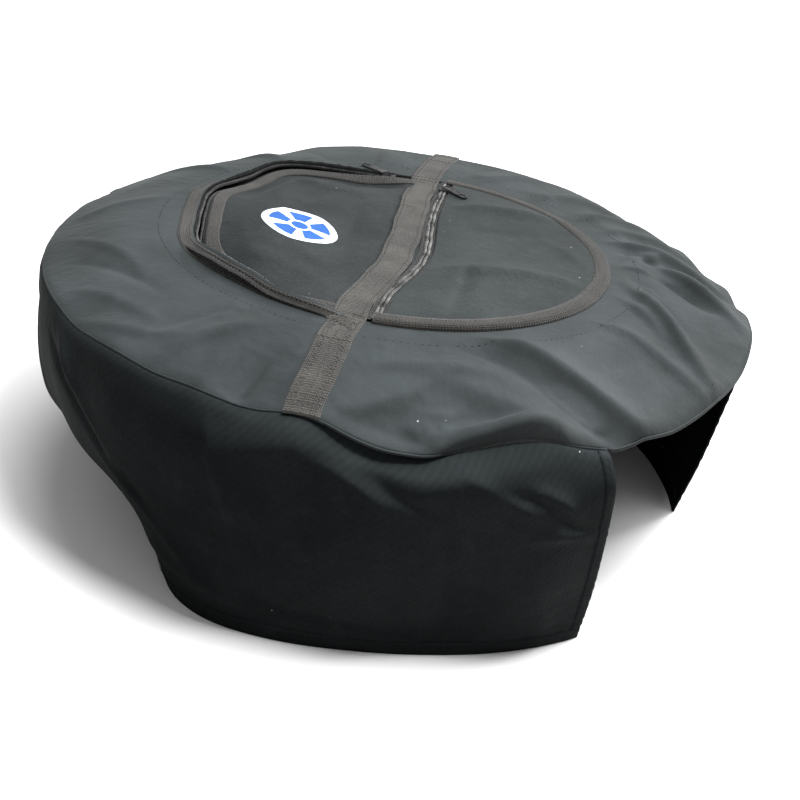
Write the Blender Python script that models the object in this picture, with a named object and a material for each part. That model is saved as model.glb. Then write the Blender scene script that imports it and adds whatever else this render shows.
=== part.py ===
"""A cloth cover for a spare tyre, in metres, +Z up.

The disc's axis is Z and the foot of the side wall is at Z = 0. The webbing strap runs along Y, with the zipped
lid on its -X side and the flat zipped pocket on its +X side.
"""

import bmesh
import bpy
from math import acos, cos, degrees, pi, radians, sin
from mathutils import Matrix, Vector

# Whole cover
OUTER_RADIUS = 0.327
RIM_RADIUS = 0.3227
FOOT_RADIUS = 0.300
RIM_HEIGHT = 0.205
CROWN_HEIGHT = 0.231
CROWN_RADIUS = 0.205
CLOTH = 0.002
GAP = 0.0003
ARC_STEP = 5.0

# Side wall, in degrees from +X, and its hem
WALL_START = 5.0
WALL_END = 310.0
HEM_HEIGHT = 0.018
HEM_THICKNESS = 0.004
BULGE = 0.0100
BULGE_HEIGHT = 0.14

# Binding round the rim
BINDING_HEIGHT = 0.004
BINDING_BEVEL = 0.0012

# Strap across the face
STRAP_LEFT = -0.024
STRAP_WIDTH = 0.028

# Curved zip round the lid
ZIP_RADIUS = 0.1845
COIL_GAP = 0.0014
COIL_WIDTH = 0.0022
COIL_HEIGHT = 0.002
ZIP_TAPE_WIDTH = 0.015
ZIP_TAPE = 0.0007
CLOTH_TO_ZIP = 0.0045
WEBBING = 0.0016
OPENING_TAPE_WIDTH = 0.012
LID_TAPE_WIDTH = 0.012

# Lid hinge, beside the strap and level with the strap's top
HINGE_X = STRAP_LEFT - 0.0022
HINGE_Z = CROWN_HEIGHT + 0.0026
LID_EDGE_X = HINGE_X - 0.0006

# Flat pocket
POCKET_RADIUS = 0.189
POCKET_ZIP_X = 0.0140
POCKET_LIFT = 0.0026
POCKET_TAPE_WIDTH = 0.015
STRAP_TAPE_WIDTH = 0.0065
PANEL_TAPE_WIDTH = 0.012

# Storage bag under the face
BAG_RIM_RADIUS = 0.217
BAG_FLOOR_RADIUS = 0.165
BAG_DEPTH = 0.070
BAG_FLANGE = 0.005
BAG_DROP = 0.0015

# Zip sliders and pull tabs
SLIDER_WIDTH = 0.0104
SLIDER_LENGTH = 0.0160
SLIDER_PLATE = 0.0012
TAIL_SHARE = 0.72
LOWER_PLATE = 0.0010
POST_THICKNESS = 0.0005
BRIDGE_WIDTH = 0.0020
BRIDGE_SPAN = 0.0062
BRIDGE_HEIGHT = 0.0040
BRIDGE_WALL = 0.0008
BRIDGE_CORNER = 0.0014
PULL_LENGTH = 0.037
PULL_WIDTH = 0.0088
PULL_TIP_WIDTH = 0.0074
PULL_THICKNESS = 0.0013
EYE_WIDTH = 0.0066
EYE_LENGTH = 0.0046
EYE_BAR = 0.0013
DIMPLE_DEPTH = 0.0005
DIMPLE_WIDTH_SHARE = 0.62
DIMPLE_STRETCH = 1.35
DIMPLE_PLACE_SHARE = 1.6
ROOT_FLAT_SHARE = 0.8
ARC_SLIDER_ANGLE = 105.0
ARC_PULL_TURN = 239.0
ARC_PULL_TILT = 0.5
POCKET_SLIDER_Y = 0.158
POCKET_PULL_TURN = 46.0
POCKET_PULL_TILT = 0.0

# Badge
BADGE_RADIUS = 0.037
BADGE_CENTRE = (-0.091, -0.010)
BADGE_THICKNESS = 0.0008


def clear_scene():
    for obj in list(bpy.data.objects):
        bpy.data.objects.remove(obj, do_unlink=True)


def make_material(name, colour, roughness, metallic=0.0):
    material = bpy.data.materials.new(name)
    material.use_nodes = True
    shader = material.node_tree.nodes["Principled BSDF"]
    shader.inputs["Base Color"].default_value = (*colour, 1.0)
    shader.inputs["Roughness"].default_value = roughness
    shader.inputs["Metallic"].default_value = metallic
    material.diffuse_color = (*colour, 1.0)
    return material


def cloth_material():
    return make_material("black_cloth", (0.045, 0.050, 0.050), 0.85)


def lining_material():
    return make_material("dark_lining", (0.025, 0.027, 0.028), 0.9)


def webbing_material():
    return make_material("grey_webbing", (0.135, 0.128, 0.115), 0.9)


def zip_tape_material():
    return make_material("zip_tape", (0.020, 0.020, 0.020), 0.85)


def coil_material():
    return make_material("zip_coil", (0.085, 0.085, 0.085), 0.35)


def metal_material():
    return make_material("slider_metal", (0.20, 0.20, 0.20), 0.35, 1.0)


def badge_material():
    return make_material("badge_white", (0.75, 0.80, 0.85), 0.5)


def finish(name, bm, material, smooth=False):
    """Writes the mesh to a named object with outward normals."""
    bmesh.ops.remove_doubles(bm, verts=bm.verts, dist=1e-6)
    bmesh.ops.recalc_face_normals(bm, faces=bm.faces)
    mesh = bpy.data.meshes.new(name)
    bm.to_mesh(mesh)
    bm.free()
    mesh.materials.append(material)
    obj = bpy.data.objects.new(name, mesh)
    bpy.context.scene.collection.objects.link(obj)
    if smooth:
        for polygon in mesh.polygons:
            polygon.use_smooth = True
    return obj


def revolve(name, section, start, end, material, step=ARC_STEP):
    """Turns a closed section of (radius, height) points about Z, from start to end in degrees."""
    bm = bmesh.new()
    first = [bm.verts.new((r * cos(radians(start)), r * sin(radians(start)), z)) for r, z in section]
    edges = []
    for a, b in zip(first, first[1:] + first[:1]):
        # An edge on the axis would sweep no face.
        if Vector(a.co.xy).length > 1e-9 or Vector(b.co.xy).length > 1e-9:
            edges.append(bm.edges.new((a, b)))
    bmesh.ops.spin(
        bm,
        geom=first + edges,
        cent=(0.0, 0.0, 0.0),
        axis=(0.0, 0.0, 1.0),
        angle=radians(end - start),
        steps=max(1, round((end - start) / step)),
    )
    bmesh.ops.remove_doubles(bm, verts=bm.verts, dist=1e-6)
    bmesh.ops.holes_fill(bm, edges=bm.edges, sides=0)
    return finish(name, bm, material, smooth=True)


def extrude_outline(name, outline, low, high, material):
    """A flat plate with the given outline of (x, y) points."""
    bm = bmesh.new()
    face = bm.faces.new([bm.verts.new((x, y, low)) for x, y in outline])
    raised = bmesh.ops.extrude_face_region(bm, geom=[face])["geom"]
    corners = [v for v in raised if isinstance(v, bmesh.types.BMVert)]
    bmesh.ops.translate(bm, verts=corners, vec=(0.0, 0.0, high - low))
    return finish(name, bm, material)


def box(name, low, high, material):
    outline = [(low[0], low[1]), (high[0], low[1]), (high[0], high[1]), (low[0], high[1])]
    return extrude_outline(name, outline, low[2], high[2], material)


def arc_points(radius, start, end, step=ARC_STEP, centre=(0.0, 0.0)):
    """Points on an arc, from start to end in degrees."""
    count = max(1, round(abs(end - start) / step))
    angles = [radians(start + (end - start) * i / count) for i in range(count + 1)]
    return [(centre[0] + radius * cos(a), centre[1] + radius * sin(a)) for a in angles]


def chord_angle(radius, x):
    """The angle from +X, in degrees, at which a circle about the origin crosses the line at x."""
    return degrees(acos(x / radius))


def left_segment(radius, x):
    """The part of a disc that lies to the left of x."""
    angle = chord_angle(radius, x)
    return arc_points(radius, angle, 360.0 - angle)


def right_segment(radius, x):
    """The part of a disc that lies to the right of x."""
    angle = chord_angle(radius, x)
    return arc_points(radius, -angle, angle)


def rectangle(inner, outer, low, high):
    return [(inner, low), (outer, low), (outer, high), (inner, high)]


def hide_as_cutter(obj):
    obj.hide_render = True
    obj.display_type = "WIRE"


def add_boolean(obj, other, operation):
    modifier = obj.modifiers.new(operation.title(), "BOOLEAN")
    modifier.operation = operation
    modifier.solver = "EXACT"
    modifier.object = other
    hide_as_cutter(other)


def empty_at(name, place, parent=None):
    empty = bpy.data.objects.new(name, None)
    bpy.context.scene.collection.objects.link(empty)
    empty.matrix_world = Matrix.Translation(place)
    if parent:
        attach(empty, parent)
    return empty


def attach(obj, parent):
    """Parents an object and keeps it where it is."""
    bpy.context.view_layer.update()
    placed = obj.matrix_world.copy()
    obj.parent = parent
    obj.matrix_parent_inverse = parent.matrix_world.inverted()
    obj.matrix_world = placed


def crown_profile(count=6):
    """(radius, height) points of the face's top, from the flat crown down to the rim."""
    points = []
    for i in range(count + 1):
        t = i / count
        radius = CROWN_RADIUS + (RIM_RADIUS - CROWN_RADIUS) * t
        height = CROWN_HEIGHT - (CROWN_HEIGHT - RIM_HEIGHT) * (1.0 - cos(t * pi / 2.0))
        points.append((radius, height))
    return points


def face_panel(material):
    top = [(0.0, CROWN_HEIGHT)] + crown_profile()
    bottom = [(radius, height - CLOTH) for radius, height in reversed(top)]
    panel = revolve("face_panel", top + bottom, 0.0, 360.0, material)
    opening = extrude_outline(
        "face_opening",
        left_segment(ZIP_RADIUS + CLOTH_TO_ZIP, STRAP_LEFT),
        CROWN_HEIGHT - 2.0 * CLOTH,
        CROWN_HEIGHT + CLOTH,
        material,
    )
    add_boolean(panel, opening, "DIFFERENCE")
    return panel


def wall_radius(height):
    """The wall's outer radius: it leans out from the foot to the rim and bulges between them."""
    top = RIM_HEIGHT - CLOTH
    lean = FOOT_RADIUS + (RIM_RADIUS - FOOT_RADIUS) * height / top
    if height < BULGE_HEIGHT:
        return lean + BULGE * sin(pi / 2.0 * height / BULGE_HEIGHT)
    return lean + BULGE * cos(pi / 2.0 * (height - BULGE_HEIGHT) / (top - BULGE_HEIGHT))


def side_wall(material, count=8):
    top = RIM_HEIGHT - CLOTH - GAP
    heights = [HEM_HEIGHT + (top - HEM_HEIGHT) * i / count for i in range(count + 1)]
    outer = [(FOOT_RADIUS, 0.0)] + [(wall_radius(z), z) for z in heights]
    inner = [(radius - CLOTH, z) for radius, z in reversed(outer[1:])]
    hem = [(wall_radius(HEM_HEIGHT) - HEM_THICKNESS, HEM_HEIGHT), (FOOT_RADIUS - HEM_THICKNESS, 0.0)]
    return revolve("side_wall", outer + inner + hem, WALL_START, WALL_END, material)


def rim_binding(material):
    inner = RIM_RADIUS + 2.0 * GAP
    high = RIM_HEIGHT + CLOTH / 2.0
    low = high - BINDING_HEIGHT
    section = [
        (inner, low),
        (OUTER_RADIUS - BINDING_BEVEL, low),
        (OUTER_RADIUS, low + BINDING_BEVEL),
        (OUTER_RADIUS, high - BINDING_BEVEL),
        (OUTER_RADIUS - BINDING_BEVEL, high),
        (inner, high),
    ]
    return revolve("rim_binding", section, 0.0, 360.0, material)


def strap(material):
    """The strap follows the face from rim to rim."""
    lift = 2.0 * GAP
    half = [(radius, height + lift) for radius, height in crown_profile()]
    half[-1] = (RIM_RADIUS - 2.0 * GAP, half[-1][1])
    under = [(-y, z) for y, z in reversed(half)] + half
    over = [(y, z + CLOTH) for y, z in reversed(under)]
    bm = bmesh.new()
    face = bm.faces.new([bm.verts.new((STRAP_LEFT, y, z)) for y, z in under + over])
    raised = bmesh.ops.extrude_face_region(bm, geom=[face])["geom"]
    corners = [v for v in raised if isinstance(v, bmesh.types.BMVert)]
    bmesh.ops.translate(bm, verts=corners, vec=(STRAP_WIDTH, 0.0, 0.0))
    return finish("strap", bm, material)


def left_ring(name, inner, outer, low, high, x, material):
    """A flat ring left of x, for the tapes and coils of the curved zip."""
    angle = chord_angle(inner, x)
    return revolve(name, rectangle(inner, outer, low, high), angle, 360.0 - angle, material)


def opening_tape(material):
    inner = ZIP_RADIUS + SLIDER_WIDTH / 2.0 + 3.0 * GAP
    low = CROWN_HEIGHT + GAP
    return left_ring(
        "opening_tape", inner, inner + OPENING_TAPE_WIDTH, low, low + WEBBING, STRAP_LEFT - GAP, material
    )


def lid_tape(material):
    outer = ZIP_RADIUS - SLIDER_WIDTH / 2.0 - 3.0 * GAP
    low = CROWN_HEIGHT + GAP
    return left_ring("lid_tape", outer - LID_TAPE_WIDTH, outer, low, low + WEBBING, LID_EDGE_X, material)


def arc_zip_half(prefix, side, edge_x, tape_material, chain_material):
    """One half of the curved zip: side is 1 outside the zip's line and -1 inside it."""
    tape_top = CROWN_HEIGHT - CLOTH - GAP
    near = ZIP_RADIUS + side * COIL_GAP / 2.0
    far = near + side * COIL_WIDTH
    edge = near + side * ZIP_TAPE_WIDTH
    tape_low = tape_top - ZIP_TAPE
    tape = left_ring(
        prefix + "_tape", min(near, edge), max(near, edge), tape_low, tape_top, edge_x, tape_material
    )
    low = tape_top + GAP
    coil = left_ring(
        prefix + "_coil", min(near, far), max(near, far), low, low + COIL_HEIGHT, edge_x, chain_material
    )
    return tape, coil


def lid_panel(material):
    outline = left_segment(ZIP_RADIUS - CLOTH_TO_ZIP, LID_EDGE_X)
    return extrude_outline("lid_panel", outline, CROWN_HEIGHT - CLOTH, CROWN_HEIGHT, material)


def badge(material):
    outline = arc_points(BADGE_RADIUS, 0.0, 360.0, centre=BADGE_CENTRE)[:-1]
    low = CROWN_HEIGHT + GAP
    return extrude_outline("badge", outline, low, low + BADGE_THICKNESS, material)


def pocket_panel(material):
    """The pocket's cloth lies on the inner edge of its zip tape."""
    low = CROWN_HEIGHT + POCKET_LIFT
    x = POCKET_ZIP_X + COIL_GAP / 2.0 + COIL_WIDTH + 2.0 * GAP + SLIDER_WIDTH / 4.0
    return extrude_outline("pocket_panel", right_segment(POCKET_RADIUS, x), low, low + CLOTH, material)


def pocket_arc_tape(material):
    """A folded tape that covers the pocket's curved edge and reaches down to the face."""
    panel_top = CROWN_HEIGHT + POCKET_LIFT + CLOTH
    inner = POCKET_RADIUS - POCKET_TAPE_WIDTH + CLOTH
    outer = POCKET_RADIUS + CLOTH
    section = [
        (inner, panel_top + GAP),
        (POCKET_RADIUS + GAP, panel_top + GAP),
        (POCKET_RADIUS + GAP, CROWN_HEIGHT + GAP),
        (outer, CROWN_HEIGHT + GAP),
        (outer, panel_top + GAP + WEBBING / 2.0),
        (outer - WEBBING / 2.0, panel_top + GAP + WEBBING),
        (inner, panel_top + GAP + WEBBING),
    ]
    angle = chord_angle(inner, POCKET_ZIP_X + SLIDER_WIDTH)
    return revolve("pocket_arc_tape", section, -angle, angle, material)


def pocket_zip_half(prefix, side, tape_width, half_length, tape_material, chain_material):
    """One half of the straight zip: side is 1 on the pocket's side and -1 on the strap's side."""
    tape_top = CROWN_HEIGHT + POCKET_LIFT - GAP
    near = POCKET_ZIP_X + side * COIL_GAP / 2.0
    far = near + side * COIL_WIDTH
    edge = near + side * tape_width
    tape = box(
        prefix + "_tape",
        (min(near, edge), -half_length, tape_top - ZIP_TAPE),
        (max(near, edge), half_length, tape_top),
        tape_material,
    )
    coil = box(
        prefix + "_coil",
        (min(near, far), -half_length, tape_top + GAP),
        (max(near, far), half_length, tape_top + GAP + COIL_HEIGHT),
        chain_material,
    )
    return tape, coil


def storage_bag_wall(material):
    """A ring of cloth: its flange is sewn under the face, and it narrows towards the floor."""
    top = CROWN_HEIGHT - CLOTH - BAG_DROP
    low = CROWN_HEIGHT - BAG_DEPTH + GAP
    section = [
        (BAG_RIM_RADIUS - BAG_FLANGE, top),
        (BAG_RIM_RADIUS + BAG_FLANGE, top),
        (BAG_RIM_RADIUS + BAG_FLANGE, top - CLOTH),
        (BAG_RIM_RADIUS, top - CLOTH),
        (BAG_FLOOR_RADIUS, low),
        (BAG_FLOOR_RADIUS - CLOTH, low),
    ]
    return revolve("storage_bag_wall", section, 0.0, 360.0, material)


def storage_bag_floor(material):
    high = CROWN_HEIGHT - BAG_DEPTH
    outline = arc_points(BAG_FLOOR_RADIUS, 0.0, 360.0)[:-1]
    return extrude_outline("storage_bag_floor", outline, high - CLOTH, high, material)


def slider_outline():
    """The slider's plate: wide and round at the front, narrower at the tail."""
    half = SLIDER_WIDTH / 2.0
    nose = arc_points(half, 0.0, 180.0, step=30.0, centre=(0.0, SLIDER_LENGTH / 2.0 - half))
    tail = TAIL_SHARE * half
    return nose + [(-tail, -SLIDER_LENGTH / 2.0), (tail, -SLIDER_LENGTH / 2.0)]


def bridge(name, plate_top, material):
    """The arch that holds the pull tab, along the direction of travel."""
    foot = BRIDGE_SPAN / 2.0
    sunk = plate_top - SLIDER_PLATE / 2.0
    top = plate_top + BRIDGE_HEIGHT
    outer = [(-foot, sunk), (-foot, top - BRIDGE_CORNER), (-foot + BRIDGE_CORNER, top)]
    outer = outer + [(-y, z) for y, z in reversed(outer)]
    inside = -foot + BRIDGE_WALL
    inner = [(inside, sunk), (inside, top - BRIDGE_CORNER), (-foot + BRIDGE_CORNER, top - BRIDGE_WALL)]
    inner = inner + [(-y, z) for y, z in reversed(inner)]
    bm = bmesh.new()
    face = bm.faces.new([bm.verts.new((-BRIDGE_WIDTH / 2.0, y, z)) for y, z in outer + inner[::-1]])
    raised = bmesh.ops.extrude_face_region(bm, geom=[face])["geom"]
    corners = [v for v in raised if isinstance(v, bmesh.types.BMVert)]
    bmesh.ops.translate(bm, verts=corners, vec=(BRIDGE_WIDTH, 0.0, 0.0))
    return finish(name, bm, material)


def slider(name, plate_low, tape_low, lower_right, place, turn, material):
    """A zip slider: plates above and below the zip, a post between the coils, and a bridge.

    lower_right is how far the lower plate reaches to the right of the zip's line.
    """
    upper = extrude_outline(name, slider_outline(), plate_low, plate_low + SLIDER_PLATE, material)
    low = tape_low - GAP - LOWER_PLATE
    half = SLIDER_WIDTH / 2.0
    lower = box(
        name + "_lower", (-half, -SLIDER_LENGTH / 2.0, low), (lower_right, half, low + LOWER_PLATE), material
    )
    post = box(
        name + "_post",
        (-POST_THICKNESS / 2.0, -SLIDER_LENGTH / 4.0, low + LOWER_PLATE / 2.0),
        (POST_THICKNESS / 2.0, half / 2.0, plate_low + SLIDER_PLATE / 2.0),
        material,
    )
    arch = bridge(name + "_bridge", plate_low + SLIDER_PLATE, material)
    matrix = Matrix.Translation(place) @ Matrix.Rotation(radians(turn), 4, "Z")
    for piece in (upper, lower, post, arch):
        piece.data.transform(matrix)
    for piece in (lower, post, arch):
        add_boolean(upper, piece, "UNION")
    return upper


def bar_height(plate_low):
    """The height of the pull tab's axis, halfway up the bridge's window."""
    return plate_low + SLIDER_PLATE + (BRIDGE_HEIGHT - BRIDGE_WALL) / 2.0


def pull_outline():
    """The tab from its eye to its round tip, along -Y."""
    wide = PULL_WIDTH / 2.0
    thin = PULL_TIP_WIDTH / 2.0
    root = arc_points(wide, 180.0, 0.0, step=22.5, centre=(0.0, EYE_BAR - wide))
    tip = arc_points(thin, 0.0, -180.0, step=22.5, centre=(0.0, thin + EYE_BAR - PULL_LENGTH))
    # The root's arc is flattened, so that its bar is straight.
    root = [(x, max(y, -EYE_BAR) if abs(x) > ROOT_FLAT_SHARE * wide else EYE_BAR / 2.0) for x, y in root]
    return root + tip


def pull_tab(name, place, turn, tilt, material):
    """A pull tab with its eye's bar on the local X axis: tilt lowers its tip, and turn swings it round."""
    low = -PULL_THICKNESS / 2.0
    tab = extrude_outline(name, pull_outline(), low, -low, material)
    half_eye = EYE_WIDTH / 2.0
    eye_far = -EYE_BAR / 2.0 - EYE_LENGTH
    eye = box(
        name + "_eye", (-half_eye, eye_far, 2.0 * low), (half_eye, -EYE_BAR / 2.0, -2.0 * low), material
    )
    thin = PULL_TIP_WIDTH / 2.0
    centre_y = DIMPLE_PLACE_SHARE * thin + EYE_BAR - PULL_LENGTH
    circle = arc_points(thin, 0.0, 360.0, step=30.0)[:-1]
    oval = [(DIMPLE_WIDTH_SHARE * x, DIMPLE_STRETCH * y + centre_y) for x, y in circle]
    dimple = extrude_outline(name + "_dimple", oval, -low - DIMPLE_DEPTH, -2.0 * low, material)
    matrix = Matrix.Translation(place) @ Matrix.Rotation(radians(turn), 4, "Z")
    matrix = matrix @ Matrix.Rotation(radians(tilt), 4, "X")
    for piece in (tab, eye, dimple):
        piece.data.transform(matrix)
    add_boolean(tab, eye, "DIFFERENCE")
    add_boolean(tab, dimple, "DIFFERENCE")
    return tab


def build_cover(cloth, lining, webbing, zip_tape, coil):
    face_panel(cloth)
    side_wall(cloth)
    rim_binding(cloth)
    strap(webbing)
    opening_tape(webbing)
    arc_zip_half("arc_zip_outer", 1, STRAP_LEFT - GAP, zip_tape, coil)
    pocket_panel(cloth)
    pocket_arc_tape(webbing)
    pocket_zip_half("pocket_zip_strap", -1, STRAP_TAPE_WIDTH, POCKET_RADIUS - CLOTH_TO_ZIP, zip_tape, coil)
    panel_half = POCKET_RADIUS - POCKET_TAPE_WIDTH
    pocket_zip_half("pocket_zip_panel", 1, PANEL_TAPE_WIDTH, panel_half, zip_tape, coil)
    storage_bag_wall(lining)
    storage_bag_floor(lining)


def build_lid(hinge, cloth, webbing, zip_tape, coil, white):
    pieces = [lid_panel(cloth), lid_tape(webbing), badge(white)]
    pieces += arc_zip_half("arc_zip_lid", -1, LID_EDGE_X, zip_tape, coil)
    for piece in pieces:
        attach(piece, hinge)


def build_arc_slider(hinge, metal):
    """The slider turns about the disc's own axis, along the curved zip, and rides on the lid."""
    angle = radians(ARC_SLIDER_ANGLE)
    place = Vector((ZIP_RADIUS * cos(angle), ZIP_RADIUS * sin(angle), 0.0))
    plate_low = CROWN_HEIGHT + GAP
    tape_low = CROWN_HEIGHT - CLOTH - GAP - ZIP_TAPE
    travel = empty_at("arc_slider_axis", (0.0, 0.0, 0.0), hinge)
    body = slider(
        "arc_slider", plate_low, tape_low, 0.0, place, ARC_SLIDER_ANGLE, metal
    )
    attach(body, travel)
    bar = place + Vector((0.0, 0.0, bar_height(plate_low)))
    pull_axis = empty_at("arc_pull_axis", bar, body)
    attach(pull_tab("arc_pull", bar, ARC_PULL_TURN, ARC_PULL_TILT, metal), pull_axis)


def build_pocket_slider(metal):
    plate_low = CROWN_HEIGHT + POCKET_LIFT + COIL_HEIGHT + GAP
    tape_low = CROWN_HEIGHT + POCKET_LIFT - GAP - ZIP_TAPE
    place = Vector((POCKET_ZIP_X, POCKET_SLIDER_Y, 0.0))
    travel = empty_at("pocket_slider_axis", place)
    body = slider("pocket_slider", plate_low, tape_low, SLIDER_WIDTH / 2.0, place, 0.0, metal)
    attach(body, travel)
    bar = place + Vector((0.0, 0.0, bar_height(plate_low)))
    pull_axis = empty_at("pocket_pull_axis", bar, body)
    attach(pull_tab("pocket_pull", bar, POCKET_PULL_TURN, POCKET_PULL_TILT, metal), pull_axis)


def main():
    clear_scene()
    cloth = cloth_material()
    lining = lining_material()
    webbing = webbing_material()
    zip_tape = zip_tape_material()
    coil = coil_material()
    metal = metal_material()
    white = badge_material()
    build_cover(cloth, lining, webbing, zip_tape, coil)
    hinge = empty_at("lid_hinge", (HINGE_X, 0.0, HINGE_Z))
    build_lid(hinge, cloth, webbing, zip_tape, coil, white)
    build_arc_slider(hinge, metal)
    build_pocket_slider(metal)


main()
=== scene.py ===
from math import cos, pi, radians, sin

import bmesh
import bpy
import numpy as np
from mathutils import Matrix, Vector
from mathutils.bvhtree import BVHTree


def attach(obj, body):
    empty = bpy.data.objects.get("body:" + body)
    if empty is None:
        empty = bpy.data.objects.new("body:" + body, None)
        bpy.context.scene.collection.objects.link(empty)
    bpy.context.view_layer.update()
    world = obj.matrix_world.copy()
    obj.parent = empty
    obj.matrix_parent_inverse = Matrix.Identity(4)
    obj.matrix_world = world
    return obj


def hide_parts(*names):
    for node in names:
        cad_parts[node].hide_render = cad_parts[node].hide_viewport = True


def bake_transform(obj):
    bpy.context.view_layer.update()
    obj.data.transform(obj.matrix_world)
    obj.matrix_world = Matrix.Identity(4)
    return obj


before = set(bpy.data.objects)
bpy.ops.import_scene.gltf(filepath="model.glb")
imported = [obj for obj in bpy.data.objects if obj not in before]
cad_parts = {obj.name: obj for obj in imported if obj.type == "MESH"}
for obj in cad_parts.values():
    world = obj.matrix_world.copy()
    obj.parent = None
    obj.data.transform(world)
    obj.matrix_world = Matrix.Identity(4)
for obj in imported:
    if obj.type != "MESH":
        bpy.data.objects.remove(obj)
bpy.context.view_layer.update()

# What a metre counts in the tables' units: millimetres and tenths of a millimetre
MM = 1000.0
TENTH = 10000.0

# The CAD's own sizes, in metres
CROWN = 0.231
CROWN_RADIUS = 0.205
ZIP_RADIUS = 0.1845
STRAP_LEFT = -0.024
STRAP_WIDTH = 0.028
POCKET_ZIP_X = 0.014
POCKET_RADIUS = 0.189
POCKET_TOP = 0.2356
BAG_FLOOR = 0.161
HINGE_X = -0.0262
BADGE_CENTRE = (-0.091, -0.017)
BADGE_RADIUS = 0.037

# Sizes of the looks, in metres
RIM_ARC_RADIUS = 0.325
CLOTH_EDGE = 0.0045        # from the curved zip's line to the cloth on either side
WEBBING_EDGE = 0.0061      # from that line to the webbing
WEBBING_WIDTH = 0.012
STRAP_MIDDLE = -0.01
PANEL_THICKNESS = 0.0012
BAG_TOP_RADIUS = 0.2165
BAG_FLOOR_RADIUS = 0.1635
FLANGE_STITCH_RADIUS = 0.217

# The cover's cloth grid
COLUMNS = 400
WALL_COLUMNS = 340
FIRST_AZIMUTH = 5.0        # the wall's first end, in degrees
LAST_AZIMUTH = 311.0       # its other end at the rim, which stands further round at the foot
COLUMN_STEP = 0.9
FACE_ROWS = 30
WALL_ROWS = 44


# ---------------------------------------------------------------- curves and heights

def ring_curve(points, blur, unit=1.0):
    """A smooth function of azimuth through (azimuth, value / unit) pairs. blur is in degrees, too."""
    azimuth, value = np.array(points, float).T
    table = np.arange(720) * 0.5
    raw = np.interp(table, azimuth, value / unit, period=360.0)
    reach = 60
    offset = np.arange(-reach, reach + 1)
    kernel = np.exp(-0.5 * (offset * 0.5 / blur) ** 2)
    kernel /= kernel.sum()
    smooth = np.convolve(np.concatenate([raw[-reach:], raw, raw[:reach]]), kernel, "valid")

    def at(azimuth_now):
        return np.interp(np.asarray(azimuth_now, float) % 360.0, table, smooth, period=360.0)

    return at


rim_radius = ring_curve([
    (0, 3215), (20, 3195), (40, 3195), (60, 3220), (78, 3240), (95, 3250), (110, 3240), (125, 3205),
    (143, 3130), (155, 3080), (170, 3070), (185, 3100), (205, 3145), (222, 3210), (235, 3245), (250, 3230),
    (262, 3190), (275, 3190), (284, 3170), (292, 3185), (300, 3205), (312, 3225), (324, 3220), (335, 3225),
    (350, 3235),
], blur=3.0, unit=TENTH)
rim_height = ring_curve([
    (0, 2130), (7, 2100), (12, 2010), (18, 2080), (23, 2030), (28, 1990), (35, 2070), (41, 2030),
    (48, 2010), (57, 2090), (70, 2150), (82, 2170), (95, 2160), (108, 2165), (117, 2140), (125, 2045),
    (134, 1990), (143, 1995), (152, 2005), (160, 2020), (180, 2030), (205, 2045), (222, 2080), (230, 2060),
    (234, 2085), (241, 2095), (247, 2070), (252, 2080), (257, 2060), (262, 2035), (267, 2100), (271, 2090),
    (275, 2010), (279, 1940), (285, 1900), (290, 1950), (294, 2000), (298, 2040), (302, 2030), (306, 1970),
    (312, 1900), (318, 1920), (324, 1905), (335, 1975), (346, 2020), (352, 2100), (356, 2150),
], blur=1.4, unit=TENTH)
zip_bump = ring_curve([
    (0, 0), (103, 0), (109, 5), (116, 40), (124, 125), (131, 210), (137, 245), (142, 210), (149, 120),
    (158, 70), (166, 60), (173, 45), (184, -30), (196, -50), (206, -10), (216, 20), (228, 10), (240, 0),
    (268, 0), (359, 0),
], blur=2.2, unit=TENTH)
face_lip = ring_curve([
    (0, 0), (100, 0), (108, 5), (116, 20), (126, 36), (137, 45), (148, 30), (160, 45), (168, 60), (176, 50),
    (196, 30), (210, 50), (219, 120), (228, 165), (241, 160), (248, 105), (256, 100), (262, 80), (266, 40),
    (271, 0), (359, 0),
], blur=1.8, unit=TENTH)
lid_lip = ring_curve([
    (0, 0), (100, 0), (107, 4), (114, -10), (124, -20), (134, -10), (141, -20), (152, -40), (162, -10),
    (170, 30), (182, 30), (196, -10), (206, -70), (220, -120), (242, -120), (250, -75), (258, -30),
    (264, 0), (270, 0), (359, 0),
], blur=2.2, unit=TENTH)
lid_trough = ring_curve([
    (0, 0), (98, 0), (104, 60), (112, 95), (124, 70), (136, 50), (150, 55), (162, 30), (172, 0), (359, 0),
], blur=2.5, unit=TENTH)
roll_radius = ring_curve([
    (0, 10), (96, 12), (104, 22), (114, 27), (128, 25), (140, 20), (152, 24), (162, 14), (175, 11),
    (359, 10),
], blur=2.0, unit=TENTH)
tape_stand = ring_curve([
    (0, 0), (160, 0), (208, .05), (218, .55), (228, 1), (258, 1), (264, .8), (270, 0), (359, 0),
], blur=2.0)
tape_tuck = ring_curve([
    (0, 1), (150, 1), (156, .9), (164, .15), (170, 0), (268, 0), (280, 1), (359, 1),
], blur=2.0)
overhang = ring_curve([
    (0, 0), (268, 0), (271, 30), (275, 62), (279, 70), (282, 50), (285, 42), (288, 10), (291, 0), (359, 0),
], blur=0.8, unit=TENTH)
turned_lip = ring_curve([
    (0, 0), (284, 0), (288, 60), (292, 105), (296, 120), (299, 110), (302, 60), (305, 15), (308, 0),
    (359, 0),
], blur=1.0, unit=TENTH)


def azimuth_of(x, y):
    return np.degrees(np.arctan2(y, x)) % 360.0


def zip_radius(azimuth):
    return ZIP_RADIUS + zip_bump(azimuth)


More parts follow.
